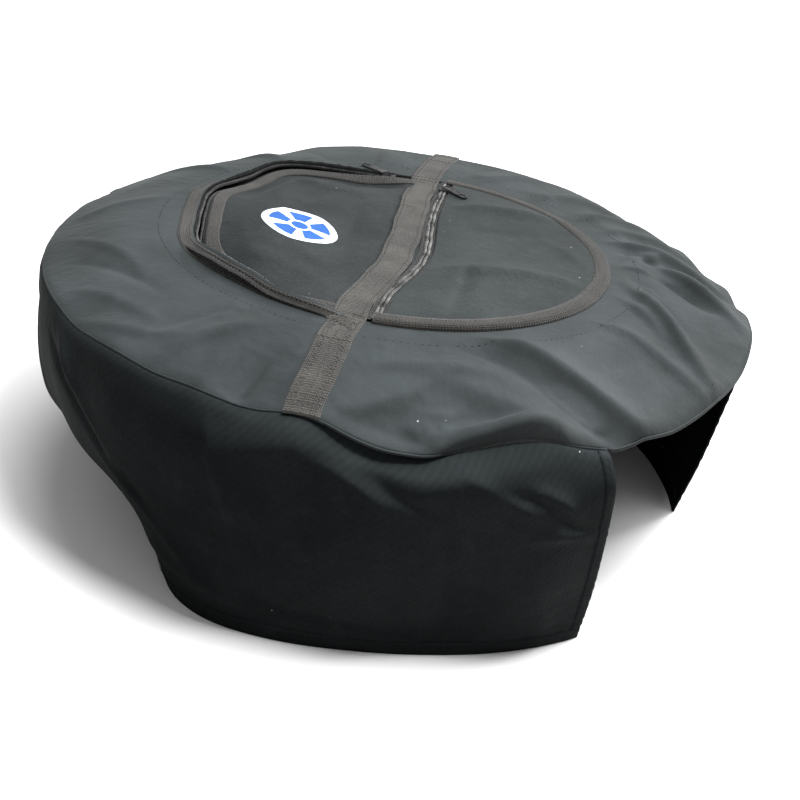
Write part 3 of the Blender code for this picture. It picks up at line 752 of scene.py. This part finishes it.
def relax(face, wall):
    """Lets the cloth settle with a little slack, so that it finds its own small folds."""
    frames = 30
    furthest = 0.012
    rows, columns = face.shape[:2]
    wall_columns = wall.shape[1]
    points = np.concatenate([face.reshape(-1, 3), wall[1:].reshape(-1, 3)])
    face_index = np.arange(rows * columns).reshape(rows, columns)
    wall_index = rows * columns + np.arange((WALL_ROWS - 1) * wall_columns).reshape(-1, wall_columns)
    wall_index = np.concatenate([face_index[-1:, :wall_columns], wall_index])
    around = np.concatenate([face_index, face_index[:, :1]], axis=1)
    quads = []
    for index in (around, wall_index):
        quad = [index[:-1, :-1], index[:-1, 1:], index[1:, 1:], index[1:, :-1]]
        quads.append(np.stack([q.ravel() for q in quad], axis=1))
    cloth = make_object("relaxing_cloth", points, np.concatenate(quads), THREAD)
    hold = np.full(len(points), 0.45)
    hold[face_index[:2].ravel()] = 1.0
    hold[face_index[2:6].ravel()] = 0.6
    hold[face_index[-1]] = 0.9
    hold[wall_index[1:12].ravel()] = 0.6
    hold[wall_index[-2:].ravel()] = 1.0
    radius = np.hypot(points[:, 0], points[:, 1])
    hold[(np.abs(points[:, 0] - STRAP_MIDDLE) < 0.017) & (points[:, 2] > 0.19)] = 1.0
    hold[radius < 0.2] = 1.0
    group = cloth.vertex_groups.new(name="hold")
    for value in np.unique(hold):
        group.add([int(i) for i in np.nonzero(hold == value)[0]], float(value), "REPLACE")
    form = tyre_shape()
    form.modifiers.new("Collision", "COLLISION")
    form.collision.thickness_outer = 0.002
    modifier = cloth.modifiers.new("Cloth", "CLOTH")
    settings = modifier.settings
    settings.quality = 5
    settings.mass = 0.25
    settings.tension_stiffness = 25.0
    settings.compression_stiffness = 25.0
    settings.shear_stiffness = 12.0
    settings.bending_stiffness = 12.0
    settings.shrink_min = -0.005
    settings.shrink_max = -0.005
    settings.vertex_group_mass = "hold"
    settings.pin_stiffness = 1.2
    modifier.collision_settings.use_self_collision = False
    modifier.collision_settings.distance_min = 0.002
    modifier.collision_settings.collision_quality = 2
    scene = bpy.context.scene
    scene.gravity = (0.0, 0.0, -3.0)
    modifier.point_cache.frame_start = 1
    modifier.point_cache.frame_end = frames
    for number in range(1, frames + 1):
        scene.frame_set(number)
    evaluated = cloth.evaluated_get(bpy.context.evaluated_depsgraph_get())
    moved = np.empty(len(points) * 3, np.float32)
    evaluated.data.vertices.foreach_get("co", moved)
    moved = moved.reshape(-1, 3).astype(float)
    scene.frame_set(1)
    bpy.data.objects.remove(cloth)
    bpy.data.objects.remove(form)
    shift = moved - points
    far = np.linalg.norm(shift, axis=1)
    shift *= np.minimum(1.0, furthest / np.maximum(far, 1e-9))[:, None]
    settled = points + shift
    return settled[face_index], settled[wall_index]


def build_cover_cloth():
    face, wall = cover_grids()
    face, wall = relax(face, wall)
    # The seam draws the cloth in along the rim.
    azimuth = azimuth_of(face[-1, :, 0], face[-1, :, 1])
    inward = xyz(*polar(1.0, azimuth), 0.0)
    face[-1] -= inward * 0.0018
    face[-1, :, 2] -= 0.0006
    over = overhang(azimuth)
    wall[0] = face[-1, :WALL_COLUMNS + 1]
    face[-1] += inward * over[:, None]
    face[-1, :, 2] += over * 0.15
    face[-2] += inward * over[:, None] * 0.5
    face[-2, :, 2] += over * 0.3
    lip = turned_lip(azimuth)
    for row, share in ((-2, 0.6), (-3, 1.0), (-4, 0.8), (-5, 0.35)):
        face[row, :, 2] += lip * share
    for row, share in ((-1, -0.28), (-2, 0.34), (-3, 0.36), (-4, 0.1)):
        face[row] += inward * lip[:, None] * share
    under = (over + 0.34 * lip)[:WALL_COLUMNS + 1, None]
    for row, share in ((0, 0.8), (1, 0.75), (2, 0.4)):
        wall[row] -= inward[:WALL_COLUMNS + 1] * under * share
        wall[row, :, 2] -= over[:WALL_COLUMNS + 1] * share * 0.8
    face_cloth = thicken(grid_object("face_cloth", face, FACE_CLOTH, closed=True), 0.0013, -1.0)
    wall_cloth = thicken(grid_object("wall_cloth", wall, WALL_CLOTH), 0.0013, 0.0)
    cover_piece(face_cloth, "black_cloth", "face_panel")
    cover_piece(wall_cloth, "black_cloth", "side_wall")
    return face_cloth, wall_cloth, face, wall


def cover_piece(obj, slot_name, *nodes, body="cover"):
    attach(obj, body)
    if nodes:
        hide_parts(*nodes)
    return obj


def build_rim(face, wall):
    """The rolled seam, the narrow hem over the gap, and the hems of the wall with their stitches."""
    rim = face[-1].copy()
    rim[:, 2] += 0.0004
    sewn = rim[:WALL_COLUMNS + 1]
    welt = uv_from_place(tube("rim_welt", sewn, 0.0013, FACE_CLOTH))
    cover_piece(welt, "black_cloth", "rim_binding")
    free = np.concatenate([rim[WALL_COLUMNS:], rim[:1]])
    cover_piece(uv_from_place(tube("free_edge_hem", free, 0.0017, FACE_CLOTH)), "black_cloth")
    free_row = np.concatenate([face[-3, WALL_COLUMNS:], face[-3, :1]]) + np.array([0.0, 0.0, 0.0006])
    foot_hem = hem_strip("foot_hem", wall[-1], wall[-4], outward=0.0004)
    end_hem = hem_strip("wall_end_hem", wall[:, -1], wall[:, -3], outward=0.0002)
    start_hem = hem_strip("wall_start_hem", wall[:, 0], wall[:, 3], outward=0.0005)
    for piece in (foot_hem, end_hem, start_hem):
        cover_piece(piece, "black_cloth")
    seams = [free_row, lift_out(wall[-4], 0.0019), lift_out(wall[:, -3], 0.0012),
             lift_out(wall[:, 3], 0.0019)]
    cover_piece(stitches("hem_stitches", seams, DARK_THREAD), "black_cloth")


def lift_out(points, amount):
    """Points moved straight out from the disc's axis."""
    outward = points.copy()
    outward[:, 2] = 0.0
    outward /= np.maximum(np.linalg.norm(outward, axis=1), 1e-9)[:, None]
    return points + outward * amount


def hem_strip(name, edge, inner, outward):
    return strip(name, lift_out(edge, outward), lift_out(inner, outward - 0.0003), 4, 0.0018, WALL_CLOTH)


def uv_from_place(obj):
    """Plain UVs in metres from the azimuth and the height, for a tube that has none."""
    mesh = obj.data
    layer = mesh.uv_layers.new(name="UVMap")
    for loop in mesh.loops:
        co = mesh.vertices[loop.vertex_index].co
        layer.data[loop.index].uv = (np.arctan2(co.y, co.x) * RIM_ARC_RADIUS, co.z)
    return obj


def build_face_centre():
    """The part of the face that lies under the strap and the pocket."""
    edge_radius = 0.1885
    angle = np.linspace(-1.0, 1.0, 90) * np.arccos((STRAP_LEFT + 0.001) / edge_radius)
    far_x = edge_radius * np.cos(angle)
    y = edge_radius * np.sin(angle)
    s = np.linspace(0.0, 1.0, 36)[:, None]
    x = STRAP_LEFT + 0.001 + (far_x - STRAP_LEFT - 0.0008)[None] * s
    y = np.broadcast_to(y, x.shape)
    z = CROWN - 0.0016 + ripple(x, y, (1, 3, 5), 0.1, 0.0003)
    cloth = grid_object("face_centre", xyz(x, y, z), FACE_CLOTH)
    return cover_piece(thicken(cloth, PANEL_THICKNESS, -1.0, subdivide=0), "black_cloth")


# ---------------------------------------------------------------- strap, lid, pocket

def strap_surface(ground):
    """The strap's grid: it lies on the face and on the folded edge of the lid."""
    y = np.linspace(-0.3205, 0.3225, 260)
    left = STRAP_LEFT + strap_bow(y) + 0.0006 * np.sin(y * 90.0)
    right = left + STRAP_WIDTH + 0.0004 * np.sin(y * 130.0 + 1.0)
    t = np.linspace(0.0, 1.0, 9)[:, None]
    x = left[None] * (1.0 - t) + right[None] * t
    yy = np.broadcast_to(y, x.shape)
    z = ground(x, yy, default=0.0)
    z = np.where(z < 0.15, rim_height(azimuth_of(x, yy)) - 0.001, z)
    middle = np.abs(yy) < 0.186
    z = np.where(middle, CROWN + 0.0004, z)
    kernel = np.ones(5) / 5.0
    z = np.stack([np.convolve(np.pad(row, 2, "edge"), kernel, "valid") for row in z])
    z = z.mean(axis=0)[None] * 0.7 + z * 0.3
    z = z + 0.0016 + 0.0005 * np.sin(yy * 160.0) * np.sin(yy * 23.0) + 0.0006 * (1.0 - (2.0 * t - 1.0) ** 2)
    near_end = (STRAP_LEFT + 0.004, -0.197, STRAP_LEFT + 0.032, -0.19, 0.001, 0.0035, 0.0022)
    small_fold = fold(x, yy, (STRAP_LEFT, 0.093, STRAP_LEFT + 0.026, 0.088, 0.001, 0.0035, 0.0016))
    small_fold = small_fold + fold(x, yy, near_end)
    small_fold = small_fold - 0.0024 * np.exp(-((yy - 0.163) / 0.02) ** 2)
    return xyz(x, yy, z + small_fold)


def build_strap(ground):
    points = strap_surface(ground)
    strap = thicken(grid_object("strap_webbing", points, STRAP_WEB), 0.0017, 0.0, subdivide=1)
    cover_piece(strap, "grey_webbing", "strap")
    top = np.array([0.0, 0.0, 0.0011])
    rows = [points[1] + top, points[-2] + top]
    near = points[:, points[0, :, 1] < -0.196]
    inner = [near[2] + top, near[4] + top, near[6] + top]
    cross = [points[:, i] + top for i in (5, 8, 36, 51, 54, 202, 205, 236, 252)]
    zigzag = []
    for i in range(8, 50, 6):
        zigzag.append(np.linspace(points[1, i], points[-2, i + 5], 12) + top)
        zigzag.append(np.linspace(points[-2, i], points[1, i + 5], 12) + top)
    sewn = stitches("strap_stitches", rows + inner + cross + zigzag, THREAD, radius=0.00042)
    cover_piece(sewn, "grey_webbing")


def arc_path(azimuth, offset, height_of, lift):
    """Points beside the curved zip: offset is outwards from its line."""
    x, y = polar(zip_radius(azimuth) + offset, azimuth)
    return xyz(x, y, height_of(x, y) + lift)


def arc_azimuths(x, radius=ZIP_RADIUS, count=340):
    edge = np.degrees(np.arccos(x / radius))
    return np.linspace(edge, 360.0 - edge, count)


def over_hinge(obj, slot_name, *nodes):
    """A piece of the lid that runs on under the strap; its transform is baked into its mesh and the CAD
    parts it replaces are hidden.
    """
    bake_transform(obj)
    if nodes:
        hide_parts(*nodes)
    return obj


def opening_band_row(azimuth, share, ground, lift):
    """One row of the webbing round the opening. share is 0 at its inner edge and 1 at its outer edge.

    The webbing lies flat on the left, stands up on the near side, and is turned under on the far side.
    """
    stand = tape_stand(azimuth)
    tuck_under = tape_tuck(azimuth)
    offset = WEBBING_EDGE + share * (WEBBING_WIDTH - 0.0048 * stand - 0.009 * tuck_under)
    x, y = polar(zip_radius(azimuth) + offset, azimuth)
    flat = ground(x, y) + lift
    edge = ground(*polar(zip_radius(azimuth) + WEBBING_EDGE, azimuth))
    standing = np.maximum(edge + lift - share * 0.0112, flat)
    z = flat * (1.0 - stand) + standing * stand
    z = z - tuck_under * (0.0022 + share * 0.007)
    outward = 0.001 * stand + (lift - 0.0012) * stand
    return xyz(*polar(zip_radius(azimuth) + offset + outward, azimuth), z)


def build_arc_zip(ground):
    """Both halves of the curved zip and the webbing that binds the face and the lid beside it."""
    outer = arc_azimuths(STRAP_LEFT + 0.012, 0.1906, count=380)
    inner = arc_azimuths(STRAP_LEFT + 0.006, 0.166)
    shares = (0.0, 0.2, 0.4, 0.6, 0.8, 1.0)
    rows = np.array([opening_band_row(outer, share, ground, 0.0012) for share in shares])
    band = thicken(grid_object("opening_webbing", rows, SHADE_DARKENED_WEB), 0.0016, subdivide=0)
    cover_piece(band, "grey_webbing", "opening_tape")
    girth = roll_radius(outer) * (1.0 + 0.16 * np.sin(outer * 1.9) * np.sin(outer * 0.43 + 1.0))
    roll = tube("opening_rolled_edge", arc_path(outer, 0.005, ground, 0.0), girth, ROLL_CLOTH, sides=10)
    cover_piece(roll, "black_cloth")
    a = arc_path(inner, -WEBBING_EDGE, lid_height, 0.0012)
    b = arc_path(inner, -0.0181, lid_height, 0.0012)
    over_hinge(strip("lid_webbing", a, b, 6, 0.0016, SHADE_DARKENED_WEB, crown=0.0005), "grey_webbing", "lid_tape")
    rows = [opening_band_row(outer, share, ground, 0.0021) for share in (0.14, 0.86)]
    cover_piece(stitches("opening_stitches", rows, THREAD), "grey_webbing")
    rows = [arc_path(inner, -0.0076, lid_height, 0.0021), arc_path(inner, -0.0166, lid_height, 0.0021)]
    over_hinge(stitches("lid_stitches", rows, THREAD), "grey_webbing")

    def low_outer(x, y):
        azimuth = azimuth_of(x, y)
        return CROWN + face_lip(azimuth) - 0.0025 + np.clip(lid_lip(azimuth), -0.004, 0.0) * 0.4

    def low_inner(x, y):
        return CROWN + lid_lip(azimuth_of(x, y)) - 0.0025

    span = arc_azimuths(STRAP_LEFT + 0.006)
    tape = strip("arc_zip_outer_cloth", arc_path(span, 0.0008, low_outer, 0.0),
                 arc_path(span, 0.015, low_outer, -0.0006), 4, 0.0006, ZIP_TAPE)
    cover_piece(tape, "zip_tape", "arc_zip_outer_tape")
    chain = coil("arc_zip_outer_chain", arc_path(span, 0.0019, low_outer, 0.0014), COIL)
    cover_piece(chain, "zip_coil", "arc_zip_outer_coil")
    tape = strip("arc_zip_lid_cloth", arc_path(span, -0.0008, low_inner, 0.0),
                 arc_path(span, -0.015, low_inner, -0.0006), 4, 0.0006, ZIP_TAPE)
    over_hinge(tape, "zip_tape", "arc_zip_lid_tape")
    chain = coil("arc_zip_lid_chain", arc_path(span, -0.0019, low_inner, 0.0014), COIL)
    over_hinge(chain, "zip_coil", "arc_zip_lid_coil")


def build_lid():
    """The lid's cloth, from under the strap to the curved zip."""
    azimuth = arc_azimuths(STRAP_LEFT + 0.002, ZIP_RADIUS - CLOTH_EDGE, count=110)
    arc_x, arc_y = polar(zip_radius(azimuth) - CLOTH_EDGE, azimuth)
    right = STRAP_LEFT + strap_bow(arc_y) + 0.004
    right = np.maximum(right, arc_x + 0.0004)
    s = np.linspace(0.0, 1.0, 46)[:, None]
    x = right[None] + (arc_x - right)[None] * s
    y = np.broadcast_to(arc_y, x.shape)
    z = lid_height(x, y)
    z = np.where(x > HINGE_X, CROWN - 0.0002, z)
    lid = thicken(grid_object("lid_cloth", xyz(x, y, z), LID_CLOTH), PANEL_THICKNESS, -1.0)
    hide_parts("lid_panel")
    return lid


def build_badge():
    """A white film disc with a plain five-spoked wheel in blue."""
    rings = np.array([0.12, 0.22, 0.3, 0.4, 0.52, 0.64, 0.74, 0.8, 0.9, 0.97, 1.0]) * BADGE_RADIUS * 0.95
    azimuth = np.arange(0.0, 360.0, 3.0)
    points = []
    for r in rings:
        x, y = polar(r, azimuth)
        x = x + BADGE_CENTRE[0]
        y = y + BADGE_CENTRE[1]
        points.append(xyz(x, y, lid_height(x, y) + 0.001))
    disc = grid_object("badge_disc", np.array(points), WHITE_FILM, closed=True)
    bm = bmesh.new()
    bm.from_mesh(disc.data)
    bm.verts.ensure_lookup_table()
    bm.faces.new([bm.verts[i] for i in range(len(azimuth))])
    for face in bm.faces:
        centre = face.calc_center_median()
        dx = centre.x - BADGE_CENTRE[0]
        dy = centre.y - BADGE_CENTRE[1]
        r = np.hypot(dx, dy) / BADGE_RADIUS
        turn = (np.degrees(np.arctan2(dy, dx)) + 6.0) % 72.0
        face.smooth = True
        if 0.3 < r < 0.8 and 12.0 < turn < 60.0 or r < 0.17:
            face.material_index = 1
    bmesh.ops.recalc_face_normals(bm, faces=bm.faces)
    bm.to_mesh(disc.data)
    bm.free()
    disc.data.materials.append(BLUE_FILM)
    thicken(disc, 0.0007, 0.0, subdivide=0)
    return cover_piece(disc, "badge_white", "badge", body="lid")


def pocket_line(y, offset):
    """x beside the straight zip, which bows with the strap."""
    return POCKET_ZIP_X + zip_bow(y) + offset


def straight_path(y, offset, z):
    return xyz(pocket_line(y, offset), y, z)


def build_pocket():
    edge = np.degrees(np.arccos((POCKET_ZIP_X + 0.006) / POCKET_RADIUS))
    arc_x, arc_y = polar(POCKET_RADIUS, np.linspace(-edge, edge, 110))
    left = np.minimum(pocket_line(arc_y, 0.0062), arc_x - 0.0004)
    s = np.linspace(0.0, 1.0, 44)[:, None]
    x = left[None] + (arc_x - left)[None] * s
    y = np.broadcast_to(arc_y, x.shape)
    cloth = grid_object("pocket_cloth", xyz(x, y, pocket_height(x, y)), POCKET_CLOTH)
    thicken(cloth, PANEL_THICKNESS, -1.0)
    cover_piece(cloth, "black_cloth", "pocket_panel")
    build_pocket_webbing()
    build_pocket_zip()
    return cloth


def build_pocket_webbing():
    inner_radius = POCKET_RADIUS - 0.013
    edge = np.degrees(np.arccos((POCKET_ZIP_X - 0.002) / inner_radius))
    azimuth = np.linspace(-edge, edge, 300)
    rows = []
    for radius, height in ((inner_radius, 0.0007), (inner_radius + 0.004, 0.0011),
                           (inner_radius + 0.008, 0.0012), (inner_radius + 0.0115, 0.001),
                           (POCKET_RADIUS + 0.0005, 0.0002)):
        x, y = polar(radius, azimuth)
        rows.append(xyz(x, y, pocket_height(x, y) + height))
    for radius, height in ((POCKET_RADIUS + 0.0012, 0.0028), (POCKET_RADIUS + 0.0016, 0.0008)):
        rows.append(xyz(*polar(radius, azimuth), CROWN + height))
    tape = thicken(grid_object("pocket_webbing", np.array(rows), SHADE_DARKENED_WEB), 0.0014, 0.0, subdivide=0)
    cover_piece(tape, "grey_webbing", "pocket_arc_tape")
    lift = np.array([0.0, 0.0, 0.0007])
    cover_piece(stitches("pocket_stitches", [rows[1] + lift, rows[3] + lift], THREAD), "grey_webbing")


def build_pocket_zip():
    low = CROWN + 0.0018
    for name, side, width, half in (("strap", -1.0, 0.0065, 0.1845), ("panel", 1.0, 0.012, 0.174)):
        y = np.linspace(-half, half, 260)
        near = straight_path(y, side * 0.0007, low)
        far = straight_path(y, side * (0.0007 + width), low)
        tape = strip("pocket_zip_" + name + "_cloth", near, far, 4, 0.0006, ZIP_TAPE)
        cover_piece(tape, "zip_tape", "pocket_zip_" + name + "_tape")
        line = straight_path(y, side * 0.0018, low + 0.0015)
        line[:, 0] += 0.0003 * np.sin(y * 210.0)
        chain = coil("pocket_zip_" + name + "_chain", line, GLINT_PAINTED_COIL)
        cover_piece(chain, "zip_coil", "pocket_zip_" + name + "_coil")


def build_bag(ground):
    """The storage bag: its wall sags in soft folds from the ring of stitches to the floor."""
    azimuth = np.arange(0.0, 360.0, 2.0)
    turn = np.radians(azimuth)
    top = ground(*polar(BAG_TOP_RADIUS, azimuth)) - 0.0011
    rows = []
    for t in np.linspace(0.0, 1.0, 22):
        radius = BAG_TOP_RADIUS + (0.164 - BAG_TOP_RADIUS) * t
        sag = 0.0035 * np.sin(pi * t) * np.sin(turn * 11.0 + 1.0) * np.cos(turn * 3.0)
        inward = 0.004 * np.sin(pi * t)
        rows.append(xyz(*polar(radius - inward + sag, azimuth), top + (BAG_FLOOR + 0.0006 - top) * t))
    wall = thicken(grid_object("bag_wall_cloth", np.array(rows), LINING, closed=True), 0.0011, 0.0)
    cover_piece(wall, "dark_lining", "storage_bag_wall")
    rows = []
    for r in np.linspace(0.004, BAG_FLOOR_RADIUS, 30):
        x, y = polar(r, azimuth)
        free = np.clip((BAG_FLOOR_RADIUS - r) / 0.03, 0.0, 1.0)
        rows.append(xyz(x, y, BAG_FLOOR - 0.001 + ripple(x, y, (1, 2, 5, 6), 0.07, 0.0016) * free))
    floor = grid_object("bag_floor_cloth", np.array(rows), LINING, closed=True)
    bm = bmesh.new()
    bm.from_mesh(floor.data)
    bm.verts.ensure_lookup_table()
    bm.faces.new([bm.verts[i] for i in range(len(azimuth))])
    bmesh.ops.recalc_face_normals(bm, faces=bm.faces)
    bm.to_mesh(floor.data)
    bm.free()
    thicken(floor, 0.0011, 0.0)
    cover_piece(floor, "dark_lining", "storage_bag_floor")
    ring = xyz(*polar(BAG_FLOOR_RADIUS, azimuth), BAG_FLOOR + 0.0012)
    seam = tube("bag_floor_seam", ring, 0.0012, LINING, closed=True)
    cover_piece(uv_from_place(seam), "dark_lining")
    return wall, floor


def build_face_stitches(ground):
    """The ring of stitches that holds the bag's flange under the face."""
    azimuth = np.linspace(3.0, 358.0, 500)
    x, y = polar(FLANGE_STITCH_RADIUS, azimuth)
    clear = np.abs(x - STRAP_MIDDLE) > 0.019
    pieces = []
    for part in (clear & (y > 0), clear & (y < 0)):
        for side in (x < STRAP_MIDDLE, x > STRAP_MIDDLE):
            chosen = part & side
            order = np.argsort(azimuth[chosen])
            px = x[chosen][order]
            py = y[chosen][order]
            pieces.append(xyz(px, py, ground(px, py) + 0.0009))
    row = stitches("bag_flange_stitches", pieces, DARK_THREAD, length=0.0034, gap=0.0022, radius=0.0006)
    cover_piece(row, "black_cloth")


def dress_metal():
    for name in ("arc_slider", "arc_pull", "pocket_slider", "pocket_pull"):
        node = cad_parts[name]
        node.data.materials.clear()
        node.data.materials.append(METAL)
        bevel = node.modifiers.new("Edges", "BEVEL")
        bevel.width = 0.00022
        bevel.segments = 2
        bevel.limit_method = "ANGLE"
        node.data.polygons.foreach_set("use_smooth", np.zeros(len(node.data.polygons), bool))


# ---------------------------------------------------------------- camera, light, floor

def build_camera():
    place = Vector((0.1678, -1.1828, 0.681))
    yaw = radians(-7.13)
    pitch = radians(27.0)
    roll = radians(8.23)
    forward = Vector((sin(yaw) * cos(pitch), cos(yaw) * cos(pitch), -sin(pitch)))
    right = Vector((cos(yaw), -sin(yaw), 0.0))
    up = right.cross(forward)
    x_axis = cos(roll) * right + sin(roll) * up
    y_axis = -sin(roll) * right + cos(roll) * up
    matrix = Matrix((x_axis, y_axis, -forward)).transposed().to_4x4()
    matrix.translation = place
    data = bpy.data.cameras.new("photo_camera")
    data.lens = 63.0
    data.sensor_width = 36.0
    camera = add_object("photo_camera", data)
    camera.matrix_world = matrix
    bpy.context.scene.camera = camera


def area_light(name, place, target, size, power):
    data = bpy.data.lights.new(name, "AREA")
    data.shape = "DISK"
    data.size = size
    data.energy = power
    light = add_object(name, data)
    light.location = place
    light.rotation_euler = (Vector(target) - Vector(place)).to_track_quat("-Z", "Y").to_euler()


def build_stage():
    scene = bpy.context.scene
    scene.view_settings.view_transform = "Standard"
    scene.view_settings.look = "None"
    world = bpy.data.worlds.new("studio")
    world.use_nodes = True
    set_inputs(world.node_tree, world.node_tree.nodes["Background"],
               {"Color": (1.0, 1.0, 1.0, 1.0), "Strength": 0.45})
    scene.world = world
    pale = simple_material("pale_floor", (0.86, 0.86, 0.86), (0.88, 0.88, 0.88), 3.0, 0.7, bump=0.02,
                           specular=0.1)
    corners = [(x * 60.0, y * 60.0, -0.0006) for x, y in ((-1, -1), (1, -1), (1, 1), (-1, 1))]
    floor = make_object("floor", corners, [(0, 1, 2, 3)], pale, smooth=False)
    area_light("key", (2.0, 2.2, 1.8), (0.1, -0.1, 0.2), 1.1, 120.0)
    area_light("front", (0.34, -0.52, 1.5), (0.12, -0.26, 0.2), 0.4, 22.0)
    data = bpy.data.lights.new("overhead", "SUN")
    data.energy = 3.25
    data.angle = radians(46.0)
    overhead = add_object("overhead", data)
    overhead.rotation_euler = (radians(-13.0), radians(12.0), 0.0)


def main():
    build_camera()
    build_stage()
    face_cloth, wall_cloth, face, wall = build_cover_cloth()
    centre = build_face_centre()
    ground = Ground(face_cloth, centre)
    build_rim(face, wall)
    build_strap(ground)
    build_arc_zip(ground)
    lid = build_lid()
    build_badge()
    pocket = build_pocket()
    bag_wall, bag_floor = build_bag(ground)
    build_face_stitches(ground)
    dress_metal()
    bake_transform(lid)


main()
